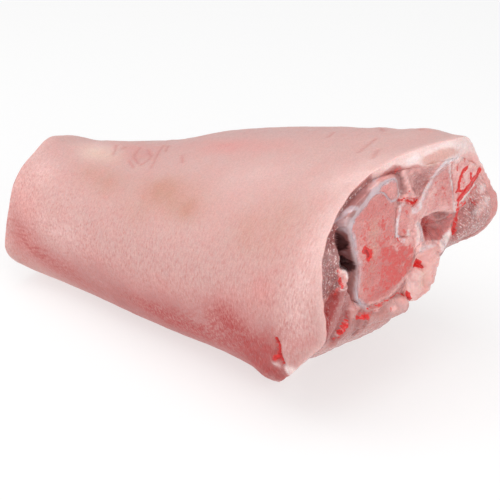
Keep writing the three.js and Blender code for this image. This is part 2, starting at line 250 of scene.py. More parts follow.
class Paint:
    """Colours laid over the points of a surface, in order, by where they lie on the knee cut."""

    def __init__(self, points, base, colours, wobble=0.35):
        self.colours = colours
        self.points = points
        self.seen = as_seen(points) + wobble * np.stack([rough(points, 2.2, 11), rough(points, 2.2, 12)], -1)
        self.grain = [rough(points, size, 13 + size) for size in (2, 3, 5)]
        self.colour = np.tile(np.array(base, float)[:3], (len(points), 1))
        self.blood, self.stain, self.fleck = np.zeros((3, len(points)))

    def lay(self, cover, colour):
        self.colour += np.clip(cover, 0, 1)[:, None] * (np.array(getattr(self.colours, colour)) - self.colour)

    def cover(self, line, half, blur):
        """1 inside an outline, or within half of a line, falling to 0 over blur."""
        line = np.array(line, float)
        margin = half + blur
        near = ((self.seen > line.min(0) - margin) & (self.seen < line.max(0) + margin)).all(-1)
        away = line_distance(self.seen[near], line) if half else outline_distance(self.seen[near], line)
        cover = np.zeros(len(self.seen))
        cover[near] = 1 - smooth(half - blur / 2, half + blur / 2, away)
        return cover

    def lay_all(self, table, within=1.0):
        for i, (colour, half, blur, strength, line) in enumerate(table):
            cover = within * self.cover(line, half, blur)
            if colour in ("blood", "clot"):
                self.blood = np.maximum(self.blood, strength * cover * (1.6 if colour == "clot" else 1))
            elif colour == "stain":
                self.stain = np.maximum(self.stain, strength * cover)
            else:
                self.lay(strength * cover * (1 + 0.25 * self.grain[i % 3]), colour)

    def speckle(self, table):
        for blur, strength, line in table:
            self.fleck = np.maximum(self.fleck, strength * self.cover(line, 0, blur))

    def looks(self):
        return {"tint": self.colour, "blood": self.blood, "stain": self.stain, "fleck": self.fleck}


# ---------- meshes ----------

def ring_faces(rings, points, closed_rings=False):
    """Quads between rings of points; closed_rings joins the last ring to the first."""
    i = np.arange(rings if closed_rings else rings - 1)[:, None]
    j = np.arange(points)[None, :]
    a = (i * points + j).ravel()
    b = (i * points + (j + 1) % points).ravel()
    up = (i + 1) % rings
    c = (up * points + (j + 1) % points).ravel()
    d = (up * points + j).ravel()
    return np.stack([a, b, c, d], -1)


def make_piece(name, points, faces, attributes, material):
    """A mesh object from drawing millimetres."""
    mesh = bpy.data.meshes.new(name)
    mesh.from_pydata(to_frame(points), [], faces)
    mesh.update()
    mesh.polygons.foreach_set("use_smooth", np.ones(len(mesh.polygons), bool))
    piece = bpy.data.objects.new(name, mesh)
    bpy.context.scene.collection.objects.link(piece)
    set_attributes(mesh, attributes)
    mesh.materials.append(material)
    return piece


def set_attributes(mesh, attributes):
    """Adds a colour for each point where the values have three columns, and a number where they have one."""
    for name, values in attributes.items():
        values = np.asarray(values, np.float32)
        if values.ndim == 2:
            layer = mesh.attributes.new(name, "FLOAT_COLOR", "POINT")
            rgba = np.concatenate([np.clip(values, 0, 1), np.ones((len(values), 1), np.float32)], 1)
            layer.data.foreach_set("color", rgba.ravel())
        else:
            layer = mesh.attributes.new(name, "FLOAT", "POINT")
            layer.data.foreach_set("value", values)


def read_points(mesh):
    flat = np.empty(len(mesh.vertices) * 3, np.float32)
    mesh.vertices.foreach_get("co", flat)
    return to_drawing(flat.reshape(-1, 3).astype(float))


def write_points(mesh, points):
    mesh.vertices.foreach_set("co", to_frame(points).astype(np.float32).ravel())
    mesh.update()


def read_normals(mesh):
    flat = np.empty(len(mesh.vertices) * 3, np.float32)
    mesh.vertices.foreach_get("normal", flat)
    return flat.reshape(-1, 3).astype(float)


def evaluated_mesh(piece, name):
    depsgraph = bpy.context.evaluated_depsgraph_get()
    mesh = bpy.data.meshes.new_from_object(piece.evaluated_get(depsgraph), depsgraph=depsgraph)
    mesh.name = name
    return mesh


def dense_copy(node, name, voxel):
    """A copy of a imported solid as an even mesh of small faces."""
    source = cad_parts[node]
    piece = bpy.data.objects.new(name, source.data.copy())
    bpy.context.scene.collection.objects.link(piece)
    weld = piece.modifiers.new("weld", "WELD")
    weld.merge_threshold = 1e-6
    remesh = piece.modifiers.new("even", "REMESH")
    remesh.mode = "VOXEL"
    remesh.voxel_size = voxel / 1000
    remesh.use_smooth_shade = True
    soften = piece.modifiers.new("soften", "SMOOTH")
    soften.iterations = 3
    soften.factor = 0.5
    mesh = evaluated_mesh(piece, name)
    piece.modifiers.clear()
    piece.data = mesh
    mesh.materials.clear()
    mesh.polygons.foreach_set("use_smooth", np.ones(len(mesh.polygons), bool))
    return piece


def finish_piece(piece, node):
    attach(piece, "root")
    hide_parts(node)


# ---------- materials ----------

class Nodes:
    """A material's nodes, added and linked in one call each."""

    def __init__(self, name):
        self.material = bpy.data.materials.new(name)
        self.material.use_nodes = True
        self.tree = self.material.node_tree
        self.shader = self.tree.nodes["Principled BSDF"]

    def add(self, kind, settings=None, **inputs):
        node = self.tree.nodes.new(kind)
        for key, value in (settings or {}).items():
            setattr(node, key, value)
        for key, value in inputs.items():
            self.put(node, key.replace("_", " "), value)
        return node

    def put(self, node, key, value):
        socket = node.inputs[int(key[1:])] if key[:1] == "i" and key[1:].isdigit() else node.inputs[key]
        if isinstance(value, bpy.types.NodeSocket):
            self.tree.links.new(value, socket)
        else:
            socket.default_value = value

    def place(self, scale=(1, 1, 1), turn=0.0):
        """Object coordinates in millimetres, turned about x by turn degrees and stretched by scale."""
        where = self.add("ShaderNodeTexCoord").outputs["Object"]
        turned = self.add("ShaderNodeMapping", Vector=where, Rotation=(math.radians(turn), 0, 0)).outputs[0]
        return self.add("ShaderNodeMapping", Vector=turned, Scale=[1000 * s for s in scale]).outputs[0]

    def colour(self, name):
        return self.add("ShaderNodeAttribute", {"attribute_name": name}).outputs["Color"]

    def value(self, name):
        return self.add("ShaderNodeAttribute", {"attribute_name": name}).outputs["Fac"]

    def noise(self, vector, scale, detail=3.0, roughness=0.5):
        return self.add("ShaderNodeTexNoise", Vector=vector, Scale=scale, Detail=detail,
                        Roughness=roughness).outputs["Fac"]

    def ramp(self, value, low, high, to_low=0.0, to_high=1.0):
        node = self.add("ShaderNodeMapRange", {"interpolation_type": "SMOOTHSTEP"}, i0=value, i1=low, i2=high,
                        i3=to_low, i4=to_high)
        return node.outputs[0]

    def math(self, operation, a, b=0.0):
        return self.add("ShaderNodeMath", {"operation": operation}, i0=a, i1=b).outputs[0]

    def mix(self, factor, a, b, blend="MIX"):
        node = self.add("ShaderNodeMix", {"data_type": "RGBA", "blend_type": blend})
        for key, value in (("Factor", factor), ("A", a), ("B", b)):
            socket = next(s for s in node.inputs if s.name == key and s.enabled)
            if isinstance(value, bpy.types.NodeSocket):
                self.tree.links.new(value, socket)
            else:
                socket.default_value = value if key == "Factor" else [*value[:3], 1]
        return next(s for s in node.outputs if s.enabled)

    def shade(self, colour, brightness):
        grey = self.add("ShaderNodeCombineColor", i0=brightness, i1=brightness, i2=brightness).outputs[0]
        return self.mix(1.0, colour, grey, "MULTIPLY")

    def bump(self, height, depth, strength=1.0, under=None):
        node = self.add("ShaderNodeBump", Height=height, Distance=depth / 1000, Strength=strength)
        if under:
            self.put(node, "Normal", under)
        return node.outputs[0]

    def bleed(self, base, place, colours):
        """Blood and its stains over the base, dense in the middle and broken up by the grain at their edges.

        Also gives where the blood is.
        """
        grain = self.math("SUBTRACT", self.noise(place, 0.85, 5.0, 0.7), 0.5)
        clouds = self.ramp(self.noise(place, 0.24, 3.0, 0.6), 0.36, 0.62, 0.3, 1.45)
        broken = self.math("MULTIPLY", clouds, self.math("ADD", 1.0, self.math("MULTIPLY", grain, 7.0)))
        soaked = self.ramp(self.math("MULTIPLY", self.value("stain"), broken), 0.2, 0.75)
        base = self.mix(self.math("MULTIPLY", soaked, 0.85), base, colours.stain)
        mask = self.ramp(self.math("ADD", self.value("blood"), self.math("MULTIPLY", grain, 1.6)), 0.34, 0.66)
        dark = self.math("MAXIMUM", self.ramp(self.noise(place, 0.55, 3.0), 0.48, 0.74),
                         self.ramp(self.value("blood"), 1.0, 1.4))
        wet = self.mix(dark, colours.blood, colours.clot)
        return self.mix(mask, base, wet), mask

    def surface(self, **inputs):
        for key, value in inputs.items():
            self.put(self.shader, key.replace("_", " "), value)
        return self.material


# How far red, green and blue light spreads under the surface, in metres
FLESH_GLOW = (0.0030, 0.0012, 0.0008)
FAT_GLOW = (0.0036, 0.0022, 0.0016)


def rind_material(colours):
    n = Nodes("raw rind")
    pores, cut = n.value("pores"), n.value("cut")
    place = n.place()
    along = n.add("ShaderNodeUVMap", {"uv_map": "skin"}).outputs[0]
    stretched = n.add("ShaderNodeMapping", Vector=along, Scale=(1, 1 / 2.1, 1)).outputs[0]
    wavy = n.add("ShaderNodeMix", {"data_type": "VECTOR"})
    drift = n.add("ShaderNodeTexNoise", Vector=stretched, Scale=0.5).outputs["Color"]
    for index, value in ((0, 0.12), (4, stretched), (5, drift)):
        n.put(wavy, f"i{index}", value)
    cells = n.add("ShaderNodeTexVoronoi", Vector=wavy.outputs[1], Scale=1.0, Randomness=0.85)
    dashes = n.ramp(cells.outputs["Distance"], 0.05, 0.55, 1.0, 0.0)
    patchy = n.ramp(n.noise(place, 0.12, 4.0, 0.6), 0.35, 0.62, 0.65, 1.0)
    shown = n.math("MULTIPLY", n.math("MULTIPLY", dashes, pores), patchy)
    mottle = n.ramp(n.noise(place, 0.1, 6.0, 0.62), 0.3, 0.72, 0.0, 0.22)
    base = n.mix(mottle, n.colour("tint"), colours.rind_rosy)
    fine = n.noise(place, 1.4, 5.0, 0.7)
    base = n.shade(base, n.ramp(fine, 0.36, 0.66, 0.93, 1.08))
    narrow = n.add("ShaderNodeMapping", Vector=along, Scale=(1 / 0.85, 1 / 3.0, 1)).outputs[0]
    streaks = n.noise(narrow, 1.0, 4.0, 0.65)
    base = n.mix(n.math("MULTIPLY", n.ramp(streaks, 0.42, 0.6), n.math("MULTIPLY", pores, 0.38)), base,
                 colours.rind_pore)
    base = n.mix(n.math("MULTIPLY", shown, 0.5), base, colours.rind_pore)
    soaked = n.ramp(n.noise(stretched, 0.9, 5.0, 0.75), 0.4, 0.58)
    base = n.mix(n.math("MULTIPLY", soaked, n.value("soak")), base, colours.rind_soaked)
    base, wet = n.bleed(base, place, colours)
    leather = n.noise(stretched, 1.3, 5.0, 0.65)
    normal = n.bump(leather, 0.2, 0.55)
    normal = n.bump(n.math("MULTIPLY", shown, -1.0), 0.2, 0.9, normal)
    normal = n.bump(n.noise(place, 1.0, 5.0, 0.6), 0.3, n.math("MULTIPLY", cut, 0.7), normal)
    shine = n.ramp(n.noise(place, 0.25, 4.0, 0.6), 0.3, 0.7, 0.42, 0.58)
    shine = n.math("SUBTRACT", shine, n.math("MULTIPLY", n.math("MAXIMUM", cut, wet), 0.16))
    return n.surface(Base_Color=base, Roughness=shine, Normal=normal, Subsurface_Weight=0.2,
                     Subsurface_Scale=0.7, Subsurface_Radius=FLESH_GLOW, Specular_IOR_Level=0.36)


def lean_material(colours):
    n = Nodes("raw lean")
    fleck, fibre = n.value("fleck"), n.value("fibre")
    coarse = n.math("SUBTRACT", 1.0, n.math("MULTIPLY", n.value("sleek"), 0.85))
    place = n.place()
    strands = n.noise(n.place((0.5, 1.25, 0.3), -38), 1.3, 4.0, 0.6)
    bundles = n.noise(place, 0.4, 4.0, 0.58)
    grain = n.math("ADD", n.math("MULTIPLY", strands, fibre),
                   n.math("MULTIPLY", bundles, n.math("SUBTRACT", 1.0, fibre)))
    grain = n.math("ADD", 0.5, n.math("MULTIPLY", n.math("SUBTRACT", grain, 0.5), coarse))
    base = n.shade(n.colour("tint"), n.ramp(grain, 0.3, 0.7, 0.8, 1.16))
    speckled = n.ramp(n.noise(place, 0.95, 6.0, 0.74), 0.53, 0.64)
    streaked = n.ramp(n.noise(n.place((0.6, 1.5, 0.42), -38), 1.1, 5.0, 0.7), 0.53, 0.64)
    fatty = n.math("ADD", n.math("MULTIPLY", streaked, fibre),
                   n.math("MULTIPLY", speckled, n.math("SUBTRACT", 1.0, fibre)))
    base = n.mix(n.math("MULTIPLY", fatty, fleck), base, colours.marbling)
    base, wet = n.bleed(base, place, colours)
    normal = n.bump(grain, 0.7, 0.8)
    pitted = n.math("MULTIPLY", coarse, n.math("ADD", n.math("MULTIPLY", fleck, 0.5), 0.15))
    normal = n.bump(n.noise(place, 1.0, 4.0, 0.6), 0.4, pitted, normal)
    shine = n.ramp(n.noise(place, 0.35, 4.0, 0.6), 0.35, 0.65, 0.16, 0.38)
    shine = n.math("SUBTRACT", shine, n.math("MULTIPLY", wet, 0.06))
    return n.surface(Base_Color=base, Roughness=shine, Normal=normal, Subsurface_Weight=0.25,
                     Subsurface_Scale=1.0, Subsurface_Radius=FLESH_GLOW, Specular_IOR_Level=0.5)


def bone_material(colours):
    n = Nodes("sawn bone")
    place = n.place()
    spongy = n.add("ShaderNodeTexVoronoi", Vector=place, Scale=1.3, Randomness=1.0).outputs["Distance"]
    pits = n.ramp(spongy, 0.15, 0.7)
    clouds = n.ramp(n.noise(place, 0.26, 6.0, 0.68), 0.38, 0.68, 0.0, 0.55)
    base = n.mix(clouds, n.colour("tint"), colours.bone_red)
    speckles = n.ramp(n.noise(place, 1.05, 6.0, 0.75), 0.56, 0.68)
    base = n.mix(n.math("MULTIPLY", speckles, n.math("MULTIPLY", n.value("fleck"), 0.8)), base, colours.stain)
    base = n.shade(base, n.math("MULTIPLY", n.ramp(pits, 0.0, 1.0, 0.92, 1.04),
                                n.ramp(n.noise(place, 0.8, 5.0, 0.7), 0.3, 0.7, 0.92, 1.08)))
    base, _ = n.bleed(base, place, colours)
    normal = n.bump(n.noise(n.place((1, 0.15, 1)), 2.2, 3.0, 0.6), 0.16, 0.4)
    normal = n.bump(pits, 0.22, 0.4, normal)
    shine = n.ramp(n.noise(place, 0.5, 4.0), 0.35, 0.65, 0.27, 0.48)
    return n.surface(Base_Color=base, Roughness=shine, Normal=normal, Subsurface_Weight=0.3,
                     Subsurface_Scale=1.0, Subsurface_Radius=FLESH_GLOW, Specular_IOR_Level=0.42)


def gristle_material(colours):
    n = Nodes("gristle")
    place = n.place()
    cloudy = n.ramp(n.noise(place, 0.3, 5.0), 0.35, 0.7, 0.88, 1.06)
    base, _ = n.bleed(n.shade(n.colour("tint"), cloudy), place, colours)
    normal = n.bump(n.noise(place, 0.8, 5.0, 0.6), 0.25, 0.4)
    return n.surface(Base_Color=base, Roughness=0.26, Normal=normal, Subsurface_Weight=0.35,
                     Subsurface_Scale=1.0, Subsurface_Radius=FAT_GLOW, Specular_IOR_Level=0.5)


def fat_material(colours):
    n = Nodes("soft fat")
    place = n.place()
    pinkish = n.ramp(n.noise(place, 0.3, 6.0, 0.66), 0.4, 0.72, 0.0, 0.5)
    base = n.mix(pinkish, n.colour("tint"), colours.fat_rosy)
    base, _ = n.bleed(base, place, colours)
    lobes = n.add("ShaderNodeTexVoronoi", {"feature": "SMOOTH_F1"}, Vector=place, Scale=0.42, Randomness=1.0)
    normal = n.bump(lobes.outputs["Distance"], 0.5, 0.4)
    normal = n.bump(n.noise(place, 1.0, 6.0, 0.65), 0.35, 0.55, normal)
    return n.surface(Base_Color=base, Roughness=0.32, Normal=normal, Subsurface_Weight=0.4,
                     Subsurface_Scale=1.0, Subsurface_Radius=FAT_GLOW, Specular_IOR_Level=0.5)


# ---------- what the knee cut shows ----------

# Colours in the order they are laid: name, half width of a line (0 fills an outline), blur, strength, and the
# [y, z] points as seen on the cut
BASE_LOOK = [
    # muscles and fat on top
    ("fat", 0, 2, 1, [[-24, 117], [-20, 112], [-10, 113], [-4, 113.5], [2, 110.5], [8, 107], [16, 104.8],
                      [24, 104], [33, 103.2], [40, 102.6], [47, 98.5], [52, 92], [60, 98], [46, 116],
                      [10, 124], [-20, 124]]),
    ("lean_light", 0, 1.6, 1, [[-22, 108], [-15, 109], [-8, 108], [-4.5, 104], [-3, 96], [4, 91], [11, 91],
                               [15, 98], [21, 103], [24, 104.4], [14, 105], [6, 109], [0, 110.5], [-5, 113.6],
                               [-12, 112.8]]),
    ("lean", 0, 2, 0.9, [[-48, 94], [-45, 102], [-36, 111], [-26, 117], [-19, 115], [-19, 108], [-24, 103],
                         [-30, 100], [-38, 98]]),
    # near side
    ("lean_dark", 0, 2, 0.9, [[-52, 66], [-52, 92], [-48, 98], [-42, 102], [-37.5, 97], [-36.5, 84],
                              [-34, 79], [-33, 68], [-44, 66]]),
    ("lean_light", 0, 2, 0.9, [[-50, 68], [-38, 69.5], [-30, 68], [-27, 60], [-24, 56], [-24, 48], [-34, 44],
                               [-52, 42]]),
    # the flap and what lies under the shin bone
    ("flap", 0, 2, 1, [[-32, 56], [-20, 53.5], [-8, 52.2], [2, 52], [7, 48], [10, 40], [0, 30], [-52, 30],
                       [-52, 46], [-40, 46.5], [-33, 49]]),
    # bones
    ("bone", 0, 0.8, 1, [[-29, 99], [-24, 103], [-17, 105.5], [-8, 107.5], [-3.6, 105], [-3.4, 96], [-3, 94],
                         [0, 94.5], [6, 88], [12, 92], [17, 98], [22, 103], [26, 104], [29.5, 102.6],
                         [35, 78.5], [28, 80], [20, 82.6], [12, 83], [9.5, 82], [10, 70], [6, 58], [0, 53],
                         [-10, 51.5], [-20, 53.5], [-25, 58], [-25.6, 70], [-25.5, 76], [-28, 84],
                         [-29.4, 91]]),
    ("bone_pale", 0, 0.8, 1, [[28.6, 103.2], [41, 103], [47, 99.4], [50.5, 92], [46, 86], [40, 82.6],
                              [36, 78], [34, 77.6], [32, 90]]),
    # far side
    ("lean_light", 0, 1.4, 1, [[49.5, 93], [56, 88], [66, 74], [68, 66], [58, 58], [40, 54], [24, 56],
                               [25, 61], [32, 67], [35, 73], [36.5, 78], [42, 82], [47, 86]]),
    ("fat_pink", 0, 1.2, 1, [[8.5, 83], [11.5, 82.2], [13, 79], [15, 73.5], [18, 70], [24, 67.6], [27, 67],
                             [33, 71], [33.5, 67.5], [30, 61.5], [27, 60], [27, 52], [20, 44], [10, 41],
                             [4, 46], [3, 52], [9, 62], [10.5, 72]]),
]
NEAR_LOOK = [
    ("lean", 0, 1.4, 0.7, [[-51, 75], [-51, 91], [-45, 91], [-44.5, 76]]),
    ("lean_pale", 0, 2.4, 0.15, [[-44.5, 90], [-41, 89], [-39.5, 91], [-38, 88], [-37, 84], [-36.5, 80],
                                 [-40, 81], [-43, 83], [-44.5, 86]]),
    # painted shadow in the dip beside the near strip
    ("deep_shade_and_dark_dots", 0, 1.6, 0.6, [[-45, 96], [-43, 98.5], [-40, 100.5], [-39, 96], [-40, 92], [-41, 89.5],
                                [-43, 91], [-44, 94]]),
    ("lean_dark", 0, 2, 0.85, [[-49, 82], [-44, 82], [-40, 80], [-37, 76], [-37, 69], [-47, 69]]),
    ("fat_pink", 0, 1.2, 0.9, [[-38, 79], [-35, 77.8], [-32, 75.5], [-31, 72.5], [-33, 69.5], [-36, 69.5]]),
    ("stain", 0.7, 1.2, 0.8, [[-38, 78.5], [-37, 75], [-36.5, 71]]),
    ("fat_white", 0.5, 0.8, 0.7, [[-35, 77], [-33, 75.5], [-32.3, 73]]),
    # upper left muscle, its membrane and the sheet that runs down into the cavity
    ("lean_dark", 0, 2, 0.3, [[-37, 105.5], [-30, 109.5], [-26, 110], [-22, 107.5], [-23, 105], [-27, 103],
                               [-31, 105], [-36, 104.5]]),
    ("lean_light", 0, 2, 0.6, [[-33, 111], [-27, 114.5], [-23, 113.5], [-21, 110], [-26, 111]]),
    ("lean_pale", 0, 1.6, 0.8, [[-21, 111.5], [-14, 109.2], [-18, 107.6], [-22, 107.8]]),
    # painted half shade between the membrane and the sheet above the cavity
    ("hollow_half_shade", 0, 1.2, 0.9, [[-36, 101.8], [-30, 101.5], [-27, 100], [-29, 97.5], [-33, 98.3]]),
    ("gristle", 0, 0.8, 0.9, [[-41, 101], [-36, 104], [-31, 105], [-27.5, 103], [-26.5, 101], [-30, 102],
                              [-33, 102], [-36, 100.4]]),
    # painted shade on the sheet where it slopes down into the cavity
    ("pinkish_gristle_and_shade", 0, 0.8, 0.9, [[-39, 100.3], [-33, 100.5], [-29, 98], [-30, 95], [-32, 94.5],
                                    [-35, 96.5], [-38.5, 97]]),
    # rolls in the lower corner, with painted shade on their shaded sides and in the groove between them, and
    # painted light on their lit sides
    ("lean", 0, 1.6, 0.9, [[-40, 70], [-29, 66], [-29, 62], [-34, 52.5], [-41, 46], [-48, 48], [-44, 58]]),
    ("bloody_lean_and_shade", 0, 3, 0.3, [[-41, 70], [-29, 66], [-29, 60], [-34, 50], [-44, 48]]),
    # painted shade: the dark red left side of the first roll, turned from the light
    ("bloody_lean_and_shade", 0, 1.8, 1, [[-41, 70], [-36, 69], [-37, 63], [-40.3, 57.5], [-44, 50], [-50, 45],
                             [-50, 60]]),
    # painted light on the lit right side of the first roll
    ("lean_pale", 0, 2.0, 0.12, [[-33, 67], [-29.5, 64], [-31, 60], [-35.5, 55], [-37, 58]]),
    ("lean_light", 0, 1.6, 0.4, [[-31, 57], [-25, 54], [-24, 47], [-30, 43], [-39, 43], [-33, 50]]),
    # painted light on the lit side of the second roll
    ("lean_pale", 0, 2, 0.2, [[-28.5, 55], [-25.5, 52], [-26, 48], [-29, 50]]),
    # dark red in the groove between the rolls, partly painted shade
    ("bloody_lean_and_shade", 1.3, 1.4, 0.85, [[-31.6, 56], [-31.2, 50.5], [-35.3, 47.8], [-39, 46]]),
    # painted shadow line along the groove right of the second roll
    ("deep_shade_and_dark_dots", 0.7, 1.2, 0.5, [[-23.6, 53.5], [-24.2, 47], [-27.4, 43]]),
    ("blood", 0, 1.6, 1, [[-40, 46], [-37, 47.8], [-35.6, 50.5], [-33.6, 53], [-31.6, 54.5], [-30.4, 51.5],
                          [-30.6, 49], [-34, 46.8]]),
    ("clot", 0, 1.4, 0.8, [[-38.5, 46.8], [-35.6, 50.5], [-33.6, 53], [-31.6, 54], [-31, 50], [-34, 47.4]]),
    ("blood", 0.9, 1.2, 0.8, [[-36.3, 73.5], [-35.2, 69.8]]),
    ("stain", 1.2, 1.6, 0.6, [[-38, 68], [-36.5, 71]]),
    ("fat_white", 0.4, 0.8, 0.6, [[-31.5, 68.5], [-33.5, 68], [-37, 68.6]]),
]
# The gap of the joint: black painted shadow deep in it, brown painted shade and greyish painted half shade on
# its walls, and the gristle's pale edge with painted shade on the side that falls away into it
CAVITY_LOOK = [
    # painted shade on the walls of the gap
    ("gap_wall_shade", 0, 0.8, 1, [[-38.6, 97], [-35, 95.5], [-32.5, 92.3], [-30.7, 88], [-29.6, 84.5],
                              [-28, 79.5], [-27, 76.5], [-27.3, 73], [-26.8, 67], [-29, 66], [-32, 67],
                              [-31.5, 73], [-34, 77.6], [-36, 79.5], [-36.8, 84], [-38, 88.5]]),
    # painted shadow, the darkest of the gap where no light reaches
    ("gap", 0, 0.7, 1, [[-38.8, 96], [-36.6, 94.3], [-34, 91.8], [-32, 88.6], [-32.4, 86], [-36.5, 86.4],
                        [-38, 89]]),
    ("gap", 0, 0.7, 1, [[-36.9, 84.8], [-34.5, 83.8], [-30.2, 79.8], [-27.2, 77.2], [-27.4, 74.6],
                        [-30, 74.4], [-32.6, 75.4], [-34.6, 77.4], [-36.7, 79.3]]),
    # painted half shade on the dimly lit lower walls of the gap
    ("hollow_half_shade", 0, 0.9, 0.9, [[-31.7, 74], [-28, 74.6], [-26.9, 73], [-26.7, 67], [-29, 65.8], [-31.4, 66.8],
                               [-32.4, 69], [-30.8, 72]]),
    ("hollow_half_shade", 0, 1, 0.7, [[-29.7, 66.5], [-27, 67], [-26.5, 62], [-27, 59], [-28.3, 60]]),
    # painted shade where the gristle wall falls away into the gap
    ("pinkish_gristle_and_shade", 1.5, 1.0, 1, [[-19.8, 54], [-23, 56.5], [-26, 59.8], [-26.4, 64], [-25.8, 68],
                                    [-25.2, 72], [-25.3, 75.8], [-27, 79.4], [-28.6, 83.6], [-29.4, 88],
                                    [-30.6, 92], [-32, 95.4]]),
    ("gristle", 0.85, 0.8, 1, [[-20.5, 55], [-23.5, 57.2], [-25.6, 60], [-25.8, 64], [-25.2, 68], [-24.6, 72],
                               [-24.8, 76], [-26.3, 80], [-27.8, 84], [-28.7, 88], [-30, 92], [-31.5, 95.5]]),
    ("gristle", 0, 0.9, 1, [[-33, 96], [-30, 99.5], [-24, 103.4], [-22, 105.2], [-18, 107.2], [-14, 108.2],
                            [-10, 108.8], [-6, 107.8], [-4.2, 105.5], [-4.3, 103.3], [-5.2, 105.3],
                            [-8, 106.6], [-12, 106.6], [-14.5, 105.6], [-17, 104.3], [-20, 102.7],
                            [-21.5, 101.2], [-24, 100.2], [-28, 98], [-29.5, 95.5], [-31, 94]]),
    ("pinkish_gristle_and_shade", 0, 2, 0.5, [[-31, 97], [-27, 101], [-22, 104], [-20, 103], [-24, 100.5], [-28, 98.4]]),
]
SHIN_LOOK = [
    ("stain", 0, 4, 0.28, [[-26, 96], [-17, 102], [-6, 96], [-5, 82], [6, 76], [8, 68], [2, 57], [-20, 55],
                           [-24, 66], [-24, 76], [-27, 86]]),
    ("bone_tan", 0, 3, 0.5, [[-20, 94], [-16, 93], [-14, 82], [-15, 72], [-19, 62], [-22, 64], [-19, 74],
                             [-20, 84]]),
    ("bone_red", 0, 3, 0.35, [[-28, 97], [-20, 102], [-12, 103], [-5, 97.5], [-5, 92], [-16, 95]]),
    ("bone_tan", 0, 4, 0.3, [[-20, 92], [-14, 92], [-14, 78], [-20, 78]]),
    ("bone_light", 2, 4, 0.35, [[-24, 93], [-24, 86], [-24.5, 72], [-23, 64]]),
    ("bone_deep", 0, 4, 0.6, [[-12, 80], [-9, 77], [-4, 77], [-1, 73], [2, 72], [7, 75], [9, 70], [7, 62],
                              [1, 57], [-8, 54.5], [-20, 54.5], [-22, 58], [-14, 60], [-11, 66], [-12, 72]]),
    ("stain", 0, 3, 1.0, [[-12.5, 80], [-8, 77], [-3, 76], [2, 73], [6, 73], [8, 68], [6, 62], [1, 57.5],
                          [-7, 56], [-12, 60], [-11.5, 68]]),
    ("stain", 1.2, 3, 0.6, [[-12.5, 92], [-11.5, 86], [-11, 80], [-9, 76], [-7, 71]]),
    ("stain", 1, 2, 0.5, [[2, 74], [5, 70], [7, 66], [6, 61]]),
    ("bone_light", 0, 2.4, 0.7, [[2, 76], [6, 77], [9, 73], [9, 68.5], [6, 70], [3, 73]]),
    ("bone_light", 0, 1.4, 0.9, [[-6.5, 77.4], [-3, 76.6], [-1, 75.2], [-0.5, 73], [-3, 73.6], [-5, 76]]),
    ("bone_light", 0.35, 0.8, 0.6, [[2, 65], [2.2, 58]]),
    ("bone_light", 0.9, 1.4, 0.8, [[4, 58], [-1, 55], [-6, 52.9], [-14, 52.9], [-19, 54.6]]),
    ("stain", 0.7, 1.8, 0.7, [[-12, 91], [-11, 88], [-11.2, 85]]),
    ("stain", 0.7, 1.8, 0.7, [[-12, 83], [-10, 81.5], [-8.5, 81.5]]),
    ("stain", 0.9, 2.0, 0.8, [[-12.5, 80], [-11, 77], [-8, 74], [-6, 70]]),
    ("stain", 0.8, 1.4, 0.6, [[-26.5, 82.5]]),
    ("stain", 0.8, 1.4, 0.7, [[-21.5, 62.5]]),
    ("stain", 0.6, 1.4, 0.6, [[-14, 57], [-9, 56.5], [-5, 57.5]]),
    ("stain", 0, 2.4, 0.6, [[-25, 81.5], [-22.5, 84.5], [-19, 82.5], [-17, 79.5], [-16.8, 76.5], [-19, 73.7],
                            [-21.3, 75.5], [-22.3, 78.5]]),
    ("blood", 0, 0.9, 1, [[-24, 81.7], [-22.5, 83.5], [-20.3, 82], [-18, 79.5], [-17.6, 76.5], [-19, 74.5],
                          [-20.4, 76], [-21.3, 78.3]]),
    ("bone_deep", 0, 4, 0.35, [[-25, 75], [-14, 76], [-10, 70], [-14, 64], [-24, 64]]),
    ("clot", 0.9, 1.3, 1, [[-20.6, 80], [-19.2, 77]]),
    ("clot", 0.25, 0.5, 0.9, [[-10.5, 97.5]]),
    # blood under the bone
    ("blood", 0.3, 0.8, 0.85, [[-20, 53], [-16, 52], [-13, 51.3], [-10, 51.5], [-7, 51], [-3, 51.5], [-1, 52],
                               [2, 50.5], [4, 48.5]]),
    ("blood", 1.1, 1.4, 0.9, [[-25, 50.8], [-22, 50], [-19.5, 48.4], [-18.7, 47]]),
    ("stain", 1.8, 3, 0.6, [[-24, 51.5], [-19, 50], [-12, 50.6]]),
    ("fat_pink", 0, 0.8, 0.8, [[-15, 50.4], [-12, 49.9], [-12.3, 48.4], [-14.7, 48.6]]),
]
CREST_LOOK = [
    ("bone_pink", 0, 0.9, 0.95, [[-14.3, 105.2], [-12, 106.4], [-8, 106.4], [-5, 105], [-4.6, 102], [-5, 99],
                                 [-7, 98.4], [-8.5, 99.8], [-10, 101.8], [-12, 104]]),
    ("stain", 0.4, 0.8, 0.6, [[-12.5, 104.8]]),
    ("gristle", 0.55, 0.7, 0.95, [[-16, 104.4], [-12.5, 103.9], [-11, 101.6], [-9.5, 99.2], [-7.6, 97.4],
                                  [-5, 97.6]]),
    ("pinkish_gristle_and_shade", 0.4, 0.7, 0.9, [[-4.4, 105.5], [-4, 103], [-3.6, 101], [-3.4, 98]]),
]
